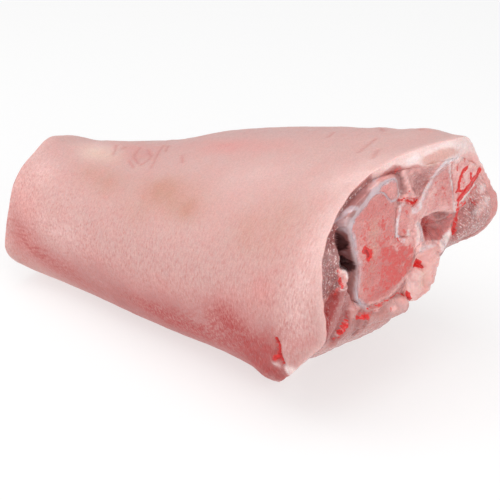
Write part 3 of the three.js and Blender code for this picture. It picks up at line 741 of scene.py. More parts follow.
CALF_LOOK = [
    ("bone_pale", 0, 1.6, 0.75, [[9, 84], [13, 83], [20, 82.6], [28, 80], [33, 79], [31, 90], [28, 101],
                                 [24, 103], [18, 98], [12, 91], [8, 87]]),
    ("stain", 0, 3, 0.2, [[13, 90], [22, 101], [29, 101], [32, 80], [14, 84]]),
    ("bone_light", 0, 2.6, 0.75, [[4, 88.5], [12, 88.5], [13, 82.6], [4, 81.5]]),
    ("bone_pink", 0, 1.6, 0.8, [[-0.6, 92.5], [4, 91], [5, 87], [3, 80.5], [-0.5, 80], [-1.6, 85]]),
    ("stain", 0.6, 1.8, 0.8, [[1.2, 90.8], [2.5, 89]]),
    ("stain", 0.7, 2, 0.6, [[0.3, 81.6], [2.6, 79.3]]),
    ("gristle_light", 0, 1.4, 0.9, [[5, 90], [8, 89.8], [12, 92.5], [12.7, 90], [11, 87], [9, 86],
                                    [6, 87.2]]),
    ("bone_brown", 0.35, 0.7, 0.7, [[-4, 97], [-3.7, 94], [-4.4, 90], [-4.4, 84], [-4, 80]]),
    ("blood", 0.3, 0.8, 0.6, [[-4, 80.5], [-2.6, 78], [-0.8, 76.2]]),
    ("gristle_light", 0.7, 0.8, 1, [[0.6, 93.9], [-1.5, 93.4], [-2.4, 90], [-2.9, 86], [-3.2, 83], [-3, 80.5],
                                    [-1.8, 78.5], [0, 77], [1.7, 76]]),
    # the triangle
    ("bone_red", 0, 5, 0.4, [[22, 102], [29, 102], [32, 90], [32, 80], [24, 84], [20, 90]]),
    ("stain", 0, 4, 0.25, [[24, 100], [29, 99], [31, 90], [25, 89]]),
    ("stain", 0.45, 1, 0.8, [[20.5, 97], [19.6, 96]]),
    ("stain", 0.4, 0.9, 0.7, [[19, 91.2], [20, 90.5]]),
    ("stain", 0.45, 1, 0.8, [[24, 92.5], [25, 91.3]]),
    ("stain", 0.4, 0.9, 0.6, [[26, 89], [27, 86]]),
    ("bone_light", 0.55, 1.2, 0.9, [[11, 83], [17, 83.1], [21, 82.9], [24, 81.8], [27, 80.2], [30, 79],
                                    [33, 78]]),
    ("gristle_light", 1.0, 1.0, 1, [[10.5, 88.6], [12.5, 92], [14, 95], [17, 98.2], [20, 101.2], [22, 102.6],
                                    [24.5, 103.5], [28, 103.4], [33, 102.8]]),
    ("pinkish_gristle_and_shade", 0.9, 1.0, 0.55, [[13.8, 91.5], [15.5, 94.5], [18.5, 97.5], [21.5, 100.6], [25, 102]]),
    ("gristle_light", 0.5, 0.7, 0.95, [[26, 102.3], [27.5, 101], [28.5, 98], [29.5, 94], [30.8, 90],
                                       [31.7, 86], [32.6, 82], [33.5, 79], [34, 77.5]]),
]
KNEE_BONE_LOOK = [
    ("bone_pink", 0, 4, 0.3, [[31, 94], [36, 94], [41, 84], [36, 79], [33, 84]]),
    ("bone_light", 0, 4, 0.5, [[36, 102], [47, 98], [49, 93], [41, 90]]),
    ("stain", 0, 3, 0.26, [[32.4, 95], [37, 98], [42, 97.5], [38.6, 92], [39.6, 87], [36.5, 80.5],
                           [33.6, 84]]),
    ("stain", 1.0, 2.4, 0.4, [[38, 98], [37, 92], [38, 87]]),
    ("stain", 1.9, 2.2, 0.75, [[37, 83.2], [41, 85.4], [45, 88], [48.5, 91.4]]),
    ("stain", 0.5, 1.2, 0.9, [[33, 99.5], [33.3, 97]]),
    ("stain", 0.5, 1.2, 0.7, [[36.5, 101], [38, 99.6]]),
    ("blood", 1.7, 1.4, 1, [[36.4, 82.3], [38.4, 83.8], [41, 85.3], [44, 86.8], [46, 88.6], [48.7, 91]]),
    ("blood", 0, 3, 0.18, [[33.5, 96], [40, 98], [42, 96], [39, 92], [40, 88], [36.5, 81], [34.5, 84]]),
    ("blood", 1.0, 1.8, 1, [[40, 95.5], [37.5, 95], [35.8, 93], [35.2, 90.5], [35.5, 88], [34.3, 86.5]]),
    ("blood", 0.6, 1.2, 0.9, [[42.5, 92.5], [43, 89.5], [44, 88.5]]),
    ("blood", 0.65, 1.2, 0.9, [[34, 86.3], [36, 86.2], [38, 85.7]]),
    ("blood", 0.8, 1.4, 0.85, [[36.4, 82.4], [35.8, 79.8]]),
    ("fat_white", 0.6, 1.0, 0.9, [[46, 85.7], [43, 83.4], [40, 81.9], [38, 80.2], [36.5, 78.4]]),
]
RIGHT_LOOK = [
    ("bone_red", 0, 3, 0.22, [[40, 79], [50, 88], [60, 80], [66, 68], [52, 56], [34, 58], [36, 70]]),
    ("lean_dark", 0, 3, 0.75, [[43, 79], [48, 78], [50, 72], [48, 68], [42, 69]]),
    ("lean_dark", 0, 3, 0.55, [[36, 77], [42, 79], [42, 68], [36, 64]]),
    ("lean_light", 1, 2, 0.7, [[37.4, 77], [38.2, 70]]),
    ("lean_light", 0, 4, 0.55, [[54, 84], [60, 81], [67, 70], [61, 64], [57, 68], [55, 76]]),
    ("fat_pink", 0, 3, 0.6, [[49, 92.5], [56, 88], [58, 83], [54, 79.5], [50, 81], [48, 86]]),
    ("lean_dark", 0, 3.5, 0.45, [[30, 67], [36, 68], [56, 69], [60, 62], [50, 57], [28, 56]]),
    ("fat_white", 0, 1.6, 0.85, [[25.6, 66.6], [32, 69.4], [33.4, 67], [30.3, 62], [27, 60.3], [25.2, 62]]),
    ("gristle", 0.9, 1.6, 0.8, [[28, 64], [28, 61.6]]),
    ("lean_dark", 0, 1.4, 0.8, [[25.3, 59.7], [30, 61.3], [34, 60.7], [30, 57.6], [27, 57]]),
    ("blood", 1.1, 2.0, 0.95, [[35.8, 77.5], [35.5, 72], [35, 68], [35.3, 66.5]]),
    ("clot", 0.8, 1.6, 0.85, [[35.2, 71], [35, 67.6]]),
    ("blood", 0.9, 1.6, 0.8, [[40.2, 78.8], [38.6, 78.3]]),
    ("blood", 0.5, 1.0, 0.75, [[43.5, 81], [44.5, 79], [46, 77.2], [47.5, 76.7]]),
    ("stain", 1.0, 2.4, 0.7, [[37, 79], [42, 81.5], [47, 84]]),
    ("stain", 1.6, 2.4, 0.7, [[36, 78], [35.6, 72], [35.2, 66]]),
    ("stain", 1.0, 2, 0.6, [[44, 80], [48, 76]]),
    ("fat_white", 0, 3, 0.4, [[46, 72], [52, 76], [56, 72], [50, 68]]),
    ("fat_white", 0, 2, 0.5, [[50, 84], [53, 83], [53.5, 80], [51, 79.5]]),
    ("fat_white", 0, 1.6, 0.5, [[53, 77], [57, 76], [57, 72.5], [54.5, 73]]),
    ("bloody_lean_and_shade", 0, 2.4, 0.5, [[43, 79], [46, 77], [45.5, 73], [42.5, 74]]),
]
RECESS_LOOK = [
    ("recess", 0, 1.0, 1, [[11.3, 82.4], [15, 82.2], [20, 82.1], [24, 80.7], [28, 77.4], [33, 75.8],
                           [34.5, 73], [33, 71], [30, 69], [27, 67.4], [24, 67.5], [20, 69.2], [16, 70.2],
                           [14.7, 74], [12.8, 79]]),
    ("bloody_lean_and_shade", 0, 3, 0.8, [[11.5, 82], [15, 82], [18, 79], [17.5, 73], [16, 70.5], [14.8, 74]]),
    # painted half shade in the upper right of the recess, under the calf bone
    ("hollow_half_shade", 0, 3, 0.7, [[20, 81.5], [25, 80.5], [30, 77], [29, 73], [24, 75]]),
    ("stain", 0.7, 1.6, 0.8, [[17, 79.3], [16.4, 77]]),
    ("stain", 0.9, 1.8, 0.9, [[24.3, 72], [25.6, 69.7]]),
    ("stain", 0.8, 1.6, 0.8, [[30, 76.7], [33, 76]]),
    # the folds of tendon left of it, with painted light on their lit sides and painted shadow lines between
    # them
    ("fat_pink", 0, 2.4, 0.85, [[4, 82], [10, 81.6], [12.6, 76], [14, 69.5], [6, 66], [3, 74]]),
    ("fat_white", 0.7, 1.6, 0.7, [[4.2, 79.6], [4.8, 76.5]]),
    # painted light on the lit side of a tendon fold
    ("fat_white", 0.8, 1.6, 0.55, [[9.4, 80], [10.4, 76], [10.4, 71]]),
    # painted shadow line between the tendon folds
    ("pinkish_gristle_and_shade", 0.5, 1.4, 0.6, [[11.2, 79.5], [12.2, 74], [11.6, 70]]),
    ("gristle", 0.6, 0.8, 0.9, [[9.6, 81.3], [11.6, 78.5], [12.9, 75], [13.8, 71.3]]),
    ("gristle_light", 0, 1.6, 0.8, [[12, 68.6], [20, 67.2], [24, 67.4], [22, 65.4], [12, 66]]),
    # painted shadow beside the pale band below the recess
    ("pinkish_gristle_and_shade", 0.5, 1.0, 0.7, [[16, 68], [14.2, 69.6]]),
]
FAT_LUMP_LOOK = [
    ("fat_rosy", 0, 2, 0.85, [[3, 52], [8, 64], [24, 66], [27, 57], [24, 48], [12, 41], [4, 45]]),
    ("fat_pink", 0, 3, 0.7, [[14, 64], [25, 62], [26, 53], [20, 49], [14, 53]]),
    ("fat_white", 0, 3, 0.3, [[5, 58], [13, 58], [15, 48], [10, 43], [5, 46]]),
    ("fat_yellow", 0, 3, 0.4, [[13, 57], [18, 56], [19, 49], [13, 48]]),
    ("blood", 0, 1.4, 0.95, [[8.5, 62], [10, 64.3], [13, 61.5], [15.5, 57.3], [13.6, 57.6], [11, 59.4],
                             [8.4, 60.5]]),
    ("clot", 0.8, 1.6, 0.7, [[9, 61], [10.5, 62]]),
    ("blood", 0, 1.2, 0.9, [[4.5, 50.8], [6.5, 49.2], [8.7, 45.7], [7.5, 44.6], [5.6, 46.3], [4.4, 48.6]]),
    ("stain", 0.5, 1.2, 0.6, [[20.5, 51.3]]),
]
FLAP_LOOK = [
    ("lean_dark", 0, 4, 0.5, [[-34, 52], [-20, 50.5], [-18, 44], [-26, 41], [-40, 44]]),
    # painted sheen: the flap lighter towards its tip
    ("lean_pale", 0, 3, 0.5, [[-8, 49], [2, 48.5], [7, 44], [6, 40.5], [-4, 43]]),
    # painted highlight along the flap's upper right edge
    ("fat_pink", 1.0, 2.0, 0.7, [[-3, 49.4], [2, 47.3], [4.7, 44.7]]),
    ("fat_pink", 0, 1.2, 0.8, [[-5, 47], [-2.2, 46.6], [-0.8, 45], [-2, 43.6], [-4, 44.5]]),
    ("stain", 0.4, 1.0, 0.7, [[-5, 47], [-4.4, 44.6]]),
]
TOP_LOOK = [
    ("lean", 0, 2, 0.9, [[-10.5, 111.3], [-5, 113], [-1, 110.3], [-2, 107], [-6, 108.5]]),
    ("stain", 0, 3, 0.4, [[-10, 111.5], [-5, 113], [-1, 110.5], [-2.5, 107.5], [-6.5, 109]]),
    ("lean_dark", 1.5, 1.8, 0.85, [[-6, 110.8], [-2.7, 106], [-1.7, 101.5], [-2, 98.5]]),
    ("lean_dark", 0, 3.5, 0.6, [[7, 104.5], [15, 103.4], [14, 98], [9, 94.5], [6, 98]]),
    ("lean_dark", 0.7, 2, 0.5, [[5, 99], [8, 95], [11, 94]]),
    ("fat_pink", 0.9, 1.2, 0.9, [[-0.8, 108.8], [1, 104.3], [3.4, 99.8], [5.4, 96.2], [6.6, 94]]),
    ("fat_white", 0.5, 1.0, 0.8, [[-3.4, 98.4], [-1.5, 99.8]]),
    ("fat_pink", 0, 1.4, 0.7, [[-3.5, 99], [0, 98.5], [2.5, 97.6], [4.7, 95], [10, 93.4], [9, 90.6],
                               [6, 90.4], [4, 91.5], [1.5, 93.6], [-2.5, 95.4]]),
    ("stain", 0, 1.6, 0.95, [[-3.5, 97.6], [0, 97.2], [2.5, 95.9], [4.7, 94.4], [9.4, 92.9], [9, 91],
                             [6, 90.8], [4, 92], [1.5, 94], [-2.5, 95.8]]),
    ("blood", 0.45, 1.0, 0.9, [[-3.4, 96.8], [-0.6, 96], [1, 96.2]]),
    ("blood", 0.55, 1.0, 0.9, [[2.4, 94.8], [4.6, 93.2], [6.6, 91.8], [9, 92]]),
    ("stain", 0.4, 1, 0.8, [[2.3, 97.6], [3.4, 98.2]]),
    ("lean_tan", 0, 2, 0.95, [[9.5, 109.8], [12, 110.8], [18, 110.4], [24, 109.6], [28, 108], [32.3, 105.8],
                              [31, 104.6], [26, 104.9], [21, 105], [17, 104.2], [13, 105.7], [11, 107.5]]),
    ("fat_white", 0, 2, 0.9, [[0, 113.6], [6, 114.2], [9, 111.2], [6, 109.4], [1, 111.3]]),
    ("fat_white", 1.0, 2, 0.7, [[12, 112], [22, 111.9], [30, 109.6], [36, 106.6]]),
    ("stain", 0.3, 1.0, 0.45, [[-24, 114.8], [-20, 116], [-14, 116.5], [-8, 117.8], [0, 117.3], [10, 116.8]]),
    ("stain", 0.3, 1.0, 0.4, [[13, 115.5], [20, 114.8], [26, 113.5], [33, 111.5]]),
]
CUT_LOOK = (BASE_LOOK + NEAR_LOOK + TOP_LOOK + FLAP_LOOK + FAT_LUMP_LOOK + RIGHT_LOOK + RECESS_LOOK
            + CAVITY_LOOK + SHIN_LOOK + CREST_LOOK + CALF_LOOK + KNEE_BONE_LOOK)

# Where flecks of fat show in the lean, and red specks in the bone: blur, strength, outline
FLECKS = [
    (2, 1.2, [[-50, 66], [-50, 92], [-45, 101], [-39, 99], [-37.5, 90], [-37, 80], [-36, 69]]),
    (2, 1.3, [[-42, 101], [-33, 111], [-24, 117], [-17, 114], [-17, 109], [-24, 104], [-34, 104]]),
    (2, 1.35, [[36, 77], [47, 85], [50, 92], [60, 84], [67, 68], [50, 56], [28, 57], [34, 68]]),
    (3, 0.3, [[-44, 66], [-28, 66], [-26, 52], [-36, 45], [-50, 48]]),
    (3, 0.35, [[-2, 108], [20, 104], [10, 94], [2, 96]]),
    (3, 0.12, [[-40, 44], [0, 48], [4, 40], [-40, 38]]),
    (2, 1.0, [[-26, 96], [-6, 98], [-4, 80], [6, 76], [9, 68], [2, 57], [-20, 54], [-24, 70]]),
    (2, 0.7, [[13, 90], [22, 101], [29, 101], [32, 80], [14, 84]]),
    (2, 0.6, [[31, 100], [44, 100], [49, 92], [36, 79]]),
]
# Where the lean is sleek: the rolls in the lower corner and the flap
SLEEK = [[-41, 69.5], [-29, 66.5], [-23, 53], [-12, 51.5], [6, 47], [9, 40], [-10, 34], [-40, 38], [-50, 46],
         [-46, 58]]
# Where the lean runs in slanting streaks
STREAKS = [[44, 92], [54, 92], [68, 72], [60, 58], [34, 57], [38, 76]]


def paint_cut(points, base, colours, within=1.0):
    """The look of the knee cut on what lies in it; what lies far behind the cut keeps the base colour."""
    p = Paint(points, base, colours)
    behind = knee_plane(points[:, 1]) - points[:, 0]
    within = within * (1 - smooth(26, 32, behind))
    p.lay_all(CUT_LOOK, within)
    p.speckle(FLECKS)
    p.fleck *= within
    return p


# ---------- rind ----------

# Wrinkles of the rind, [x, angle] points
WRINKLES = {
    "ankle a": [[-64.5, 86], [-60.5, 93], [-58, 98]],
    "ankle b": [[-50.5, 83], [-46.5, 93], [-44, 97], [-37.5, 101]],
    "ankle c": [[-45, 100], [-41, 103], [-38, 105]],
    "ankle d": [[-44, 85], [-35, 93], [-34, 97], [-35, 102]],
    "ankle e": [[-38.5, 78], [-32.5, 91], [-29, 98], [-27, 103]],
    "ankle f": [[-34.5, 79], [-30, 87]],
    "ankle g": [[-16.5, 90], [-11.5, 96]],
    "ankle h": [[-58.5, 89], [-59.5, 84]],
    "top a": [[48, 66], [50, 73]],
    "top b": [[73, 76], [74, 86], [74, 89]],
    "top c": [[81, 88], [84, 96]],
    "fold a": [[73, 50], [82, 64], [86, 66]],
    "fold b": [[62, 55], [70, 66]],
}
# Finer swellings than the solid's, [x, angle, half length along x, half width in degrees, rise]
SWELLINGS = [
    [66, 203, 9, 7, 1.8], [71.0, 192, 2.4, 3.4, 1.6], [78.8, 188, 3.6, 7, 1.5], [79, 200, 4, 5, 1.8],
    [86, 190, 4, 3, -0.9], [60, 193, 4, 4, -0.8], [-94, 205, 5, 8, -0.8], [-89, 222, 5, 8, 0.5],
    [-95, 106, 9, 14, -1.0], [-76, 76, 10, 14, 1.3], [-96, 133, 9, 13, -0.8], [-96, 166, 8, 9, 0.5],
    [-96, 190, 8, 9, -0.7], [102, 36, 24, 18, -2.0],
]
# Patches of the rind: name, x, angle, half length along x, half width in degrees, strength
PATCHES = [
    ("rind_grey", 10, 64, 80, 10, 0.4),
    ("rind_pale", -70, 96, 12, 12, 0.75),
    ("rind_pale", -86, 140, 12, 12, 0.6),
    ("rind_pale", 87, 150, 7, 32, 0.65),
    ("rind_pale", 40, 104, 18, 12, 0.3),
    ("rind_rosy", 5, 80, 28, 7, 0.6),
    ("rind_rosy", -50, 84, 12, 8, 0.45),
    ("rind_rosy", -86, 172, 12, 12, 0.4),
    ("rind_rosy", 66, 160, 9, 14, 0.55),
    ("rind_pale", 84, 172, 8, 22, 0.8),
    ("rind_pale", 88, 108, 16, 12, 0.7),
    ("rind_rosy", -34, 172, 30, 12, 0.5),
    ("rind_rosy", 12, 170, 24, 12, 0.5),
    ("rind_rosy", 50, 168, 14, 14, 0.5),
    ("rind_tan", -8, 116, 18, 9, 1.0),
    ("rind_tan", 10, 123, 12, 7, 0.9),
    ("rind_cream", -66, 101, 13, 9, 0.7),
    ("rind_pale", -60, 168, 22, 15, 0.65),
    ("fat_pink", -88, 168, 14, 18, 0.7),
    ("rind_tan", -50, 120, 14, 9, 0.8),
    ("rind_tan", 58, 130, 18, 12, 0.7),
    ("rind_tan", -18, 130, 12, 9, 0.35),
    ("rind_rosy", -86, 198, 16, 16, 0.75),
    ("rind_flush", -69, 204, 12, 12, 0.35),
    ("rind_flush", -56, 197, 12, 12, 0.45),
    ("rind_flush", -2, 186, 16, 10, 0.45),
    ("rind_flush", 44, 176, 11, 11, 0.75),
    ("rind_flush", 56, 190, 11, 12, 0.75),
    ("rind_flush", 88, 184, 6, 3, 0.4),
    ("rind_flush", -42, 92, 10, 8, 0.3),
]
# Where blood shows through the rind: x, angle, half length along x, half width in degrees, strength
SOAKED = [[43, 175, 12, 10, 0.9], [57, 191, 13, 12, 1.2], [80, 178, 10, 8, 0.3], [-2, 188, 20, 9, 0.7],
          [-60, 200, 26, 12, 0.5], [-84, 190, 14, 18, 0.2], [25, 194, 30, 9, 0.9]]
# The same for the bruise at the lower edge, the creases in it and the red specks along the edge
BRUISED = [[67, 196, 10, 10, 2.8], [58, 200, 12, 9, 1.6]]
CREASED = [[68, 201, 11, 11, 1]]
SPECKED = [[48, 186, 24, 12, 1.2], [14, 190, 30, 9, 0.9], [-80, 196, 18, 9, 0.8]]
# [x, angle] lines: the slit in the bruise with what lies beside it, and the tip of fat below it
SLIT = [[73, 181], [74.5, 184], [74, 188], [75, 191], [76, 194]]
SLIT_BLOT = [[71.6, 190.6], [73.6, 190.4]]
SLIT_FAT = [[71.2, 194], [72.6, 195]]
SLIT_RIM = [[78, 184], [79, 194]]
FAT_TIP = [[78, 196], [82, 199], [80.5, 203], [76, 208]]
DARK_DOTS = [[62, 188.5], [46, 185]]
# Millimetres for a degree round the rind, near the slit
DEGREE = 0.85


def skin_distance(x, angle, line):
    """Distance on the rind from a line of [x, angle] points, in millimetres."""
    flat = np.stack([x.ravel(), angle.ravel() * DEGREE], -1)
    return line_distance(flat, np.array(line) * [1, DEGREE]).reshape(x.shape)


def slanted_place(x, angle):
    """A place on the rind in which creases and specks run aslant."""
    return np.stack([x + 0.9 * angle, 0.25 * x - 0.3 * angle], -1)


def rind_relief(x, angle):
    """The folds and lumps of the solid, then the finer wrinkles, dents and waves."""
    rise = blobs(x, angle, RIND_RELIEF.values()) + blobs(x, angle, SWELLINGS)
    for line in WRINKLES.values():
        away = skin_distance(x, angle, line)
        rise += -0.3 * np.exp(-(away / 0.6) ** 2) + 0.12 * np.exp(-((away - 1.8) / 1.2) ** 2)
    slit = skin_distance(x, angle, SLIT)
    rise += -2.0 * np.exp(-(slit / 1.0) ** 2)
    place = surface_point(x, angle)
    creases = np.abs(noise(slanted_place(x, angle), 4.2, 6))
    rise += blobs(x, angle, CREASED) * (0.9 * creases - 0.4 + 0.35 * rough(place, 5, 9))
    meaty = smooth(58, 76, x) * (1 - smooth(40, 56, angle) * (1 - smooth(300, 322, angle)))
    rise += meaty * (0.7 * rough(place, 11, 7) + 0.4 * rough(place, 4, 8))
    return rise + 0.16 * rough(place, 24, 3, 2) + 0.1 * rough(place, 5, 5, 3)


def paint_outside(p, x, angle, end):
    """Colours of the rind's outside."""
    place = surface_point(x, angle)
    for i, (colour, at, turn, long, wide, strength) in enumerate(PATCHES):
        cover = blobs(x, angle, [[at, turn, long, wide, strength]])
        p.lay(cover * (0.95 + 0.35 * rough(place, 9, 200 + i % 4)), colour)
    # the rind darker and redder towards its underside: partly its own redness, partly painted shade
    low = smooth(158, 190, angle) * (1 - smooth(232, 262, angle))
    along = (0.12 + 0.88 * smooth(-84, -14, x)) * (1 - 0.75 * smooth(66, 78, x))
    p.lay(0.85 * along * low * (0.85 + 0.3 * rough(place, 12, 22)), "low_rind_red_and_shade")
    p.lay(0.9 * along * smooth(184, 200, angle) * (1 - smooth(232, 262, angle)), "low_rind_red_and_shade")
    p.lay(0.5 * (1 - smooth(0, 5, end - x)), "rind_pale")
    p.lay(0.4 * (1 - smooth(0, 6, x - FOOT_X)), "rind_pale")
    for line in WRINKLES.values():
        p.lay(0.55 * np.exp(-(skin_distance(x, angle, line) / 0.6) ** 2), "rind_pore")
    bruised = blobs(x, angle, BRUISED)
    slanted = slanted_place(x, angle)
    p.lay(bruised * (0.72 + 0.28 * smooth(-0.5, 0.3, noise(slanted, 2.6, 24))), "bruise")
    p.lay(0.7 * np.minimum(bruised, 1) * smooth(0.1, 0.5, noise(slanted * [1, 0.4], 1.3, 25)), "clot")
    specks = smooth(0.16, 0.36, noise(slanted * [1, 0.6], 1.1, 26))
    p.lay(0.85 * np.minimum(blobs(x, angle, SPECKED), 1) * specks, "rind_soaked")
    p.lay(0.9 * np.exp(-((skin_distance(x, angle, SLIT_FAT) / 1.6) ** 2)), "fat_white")
    p.lay(0.6 * np.exp(-((skin_distance(x, angle, SLIT_RIM) / 2.2) ** 2)), "rind_pale")
    p.lay(np.exp(-((skin_distance(x, angle, FAT_TIP) / 2.2) ** 4)), "fat_white")
    for dot in DARK_DOTS:
        p.lay(0.6 * np.exp(-((skin_distance(x, angle, [dot]) / 1.0) ** 2)), "deep_shade_and_dark_dots")
    slit = np.exp(-((skin_distance(x, angle, SLIT) / 1.1) ** 2))
    blot = np.exp(-((skin_distance(x, angle, SLIT_BLOT) / 1.5) ** 2))
    p.blood = np.maximum(p.blood, np.maximum(slit, 0.9 * blot))


# The radius of the rind's cut edges, and the mean one of the shank, for its UV map
EDGE_RADIUS = 0.7
SHANK_RADIUS = 50


def rind_rings(shape, angle, end, thick):
    """x, inset and share of the relief for each ring: out along the rind, round its cut edge and back."""
    corner = EDGE_RADIUS
    near = smooth(112, 128, angle % 360) * (1 - smooth(190, 204, angle % 360))
    rings = []

    def ring(x, inset, outside):
        rings.append([np.broadcast_to(value, angle.shape) for value in (x, inset, outside)])
    for share in np.linspace(0, 1, shape.rind_rings):
        ring(FOOT_X + corner + (end - corner - FOOT_X - corner) * share, 0.0, 1.0)
    for turn in np.linspace(0, math.pi / 2, 7)[1:]:
        ring(end - corner * (1 - math.sin(turn)), corner * (1 - math.cos(turn)), 1.0)
    for share in np.linspace(0, 1, 22)[1:]:
        bulge = 0.5 * np.sin(math.pi * share) * smooth(3, 6, thick) - (0.6 + 1.2 * near) * share
        ring(end + bulge, corner + (thick + 0.4 - corner) * share, 1 - share)
    for share in np.linspace(1, 0, 14):
        ring(FOOT_X + 3 + (end - 4 - FOOT_X - 3) * share, thick, 0.0)
    for share in np.linspace(1, 0, 12):
        ring(FOOT_X + 0.8 * share ** 4, corner + (thick - corner - 0.3) * share, 1 - share)
    for turn in np.linspace(math.pi / 2, 0, 7)[1:-1]:
        ring(FOOT_X + corner * (1 - math.sin(turn)), corner * (1 - math.cos(turn)), 1.0)
    return np.moveaxis(np.array(rings), 1, 0)


def unroll(piece, xs, count):
    """A UV map of the rind in millimetres along x and round the shank."""
    corners = np.empty(len(piece.data.loops), np.int32)
    piece.data.loops.foreach_get("vertex_index", corners)
    column = corners % count
    square = column.reshape(-1, 4)
    closing = np.repeat((square == 0).any(1) & (square == count - 1).any(1), 4)
    column = np.where(closing & (column == 0), count, column)
    arc = np.arange(count + 1) * 2 * math.pi * SHANK_RADIUS / count
    layer = piece.data.uv_layers.new(name="skin")
    layer.data.foreach_set("uv", np.stack([xs.ravel()[corners], arc[column]], -1).astype(np.float32).ravel())


def build_rind(shape, colours):
    count = shape.rind_points_around
    angle = 270 + 360 * np.arange(count) / count
    circle = np.stack([np.cos(np.radians(angle)), np.sin(np.radians(angle))], -1)
    end = rind_reach(angle) + 0.3 * noise(circle, 0.06, 8)
    thick = fat_thickness(angle)
    xs, insets, outside = rind_rings(shape, angle, end, thick)
    turns = np.broadcast_to(angle, xs.shape)
    wrapped = np.mod(turns, 360)
    points = surface_point(xs, turns, insets - rind_relief(xs, wrapped) * outside)
    knee_side = smooth(0.3, 1.2, insets) * (xs > 20)
    meaty = knee_side * (1 - smooth(44, 60, wrapped) * (1 - smooth(318, 334, wrapped)))
    points[..., 0] += knee_side * (0.3 + 0.5 * meaty) * smooth(0.2, 2, thick - insets) * rough(points, 4, 31)
    points[..., 0] += smooth(0.3, 1.2, insets) * (xs < 0) * 0.3 * rough(points, 3, 32)
    points[..., 2] = np.maximum(points[..., 2], TABLE_Z)
    flat = points.reshape(-1, 3)
    p = Paint(flat, colours.rind, colours)
    paint_outside(p, xs.ravel(), wrapped.ravel(), np.broadcast_to(end, xs.shape).ravel())
    shown = smooth(0.15, 0.6, insets.ravel())
    p.lay(shown, "fat")
    tint, blood = p.colour, p.blood
    p = paint_cut(flat, colours.fat, colours)
    cut = (shown * (flat[:, 0] > 20))[:, None]
    tint = tint + cut * (p.colour - tint)
    blood = np.where(shown > 0.5, p.blood * cut[:, 0], blood)
    lower = smooth(100, 168, wrapped) * (1 - smooth(300, 330, wrapped))
    pores = (0.12 + 0.88 * lower) * (insets < 0.3) * (1 - 0.6 * (1 - smooth(0, 8, end - xs)))
    soak = blobs(xs, wrapped, SOAKED) * (insets < 0.3)
    looks = {"tint": tint, "blood": blood, "stain": p.stain * cut[:, 0], "pores": pores.ravel(), "cut": shown,
             "soak": np.clip(soak, 0, 0.95).ravel()}
    faces = ring_faces(len(xs), count, True)[:, ::-1].tolist()
    piece = make_piece("rind", flat, faces, looks, rind_material(colours))
    unroll(piece, xs, count)
    finish_piece(piece, "outer_fat")


# ---------- lean ----------

# What rises or sinks in the lean, as seen on the knee cut: ([y, z] line, half width, rise along x)
LEAN_RELIEF = {
    "near strip": ([[-46, 74], [-44, 94]], 3.5, 1.0),
    "pale patch": ([[-41, 88], [-39, 83]], 2.5, 0.9),
    "strip shadow": ([[-43, 98], [-41, 91]], 1.8, -1.4),
    "upper muscle": ([[-34, 106], [-25, 109]], 3, 0.8),
    "muscle top": ([[-32, 112], [-24, 114]], 2, 0.4),
    "membrane": ([[-40, 101.5], [-35, 104], [-31, 104.6], [-27, 101.5]], 1.1, 1.1),
    "sheet": ([[-38, 98.5], [-33, 99], [-30, 97]], 2.0, -0.8),
    "sheet foot": ([[-36, 96.5], [-32, 94]], 2.0, -2.2),
    "lump": ([[-37, 78], [-33, 75.5], [-33, 71.5]], 2.2, 2.4),
    "lump foot": ([[-37, 68.6], [-31.5, 68.2]], 1.0, -2.2),
    "flap bump": ([[-3, 45.3]], 1.8, 1.2),
    "flap groove": ([[-25, 52.5], [-16, 50.6], [-5, 50.6], [4, 49.5]], 1.0, -1.2),
    "top groove": ([[-5.5, 109.5], [-2.2, 104], [-1.8, 98]], 1.4, -2.6),
    "pale strip": ([[-0.5, 108], [3.4, 99.8], [6, 95]], 1.1, 1.2),
    "middle muscle": ([[8, 103], [13, 98]], 4, -1.1),
    "clot bed": ([[-3, 96.5], [4, 93.5], [9, 92]], 1.3, -1.2),
    "tan muscle": ([[12, 108.3], [28, 107]], 2.6, 0.9),
    "hollow": ([[17, 77.5], [20, 75], [26, 73.5]], 4.4, -7.0),
    "hollow edge": ([[12.5, 81.6], [20, 81], [26, 78.4]], 1.6, -3.4),
    "hollow side": ([[14.6, 79], [16.6, 73]], 2.0, -1.6),
    "left tendon": ([[9.6, 80.5], [11.2, 76], [11.4, 70.5]], 1.6, 1.2),
    "second tendon": ([[12.6, 77], [14, 71.4]], 1.0, 1.0),
    "tendon groove": ([[7, 80], [7.4, 72]], 1.2, -1.2),
    "right tissue": ([[27, 62], [30.5, 65.5], [31.6, 68.6]], 2.0, 2.4),
    "inner groove": ([[36, 77], [35, 66]], 1.3, -3.0),
    "far muscle": ([[44, 70], [56, 70]], 6, 2.0),
    "far groove": ([[43, 82], [45, 78.6], [48, 75.5]], 1.1, -1.4),
    "far dip": ([[45.5, 76], [47, 71]], 2.2, -1.4),
    "far lump": ([[54, 86], [56, 82]], 3, 1.2),
}
# Rolls of lean with round backs and steep sides, and the grooves between them
LEAN_ROLLS = [
    ([[-33.8, 66], [-35.8, 61.5], [-39.7, 55.6], [-44, 48.1]], 4.0, 3.6),
    ([[-27.1, 54.4], [-28.3, 50.5], [-32.3, 46.6], [-37.5, 44.1]], 2.9, 3.0),
    ([[-19, 46.4], [-9, 46.2], [3.5, 43.2]], 4.6, 3.2),
    ([[-31.6, 55], [-31.2, 50.5], [-35.3, 47.8], [-38.5, 46.6]], 1.0, -2.2),
    ([[-23.6, 53], [-24.2, 47], [-27.4, 43.9]], 0.9, -1.6),
]
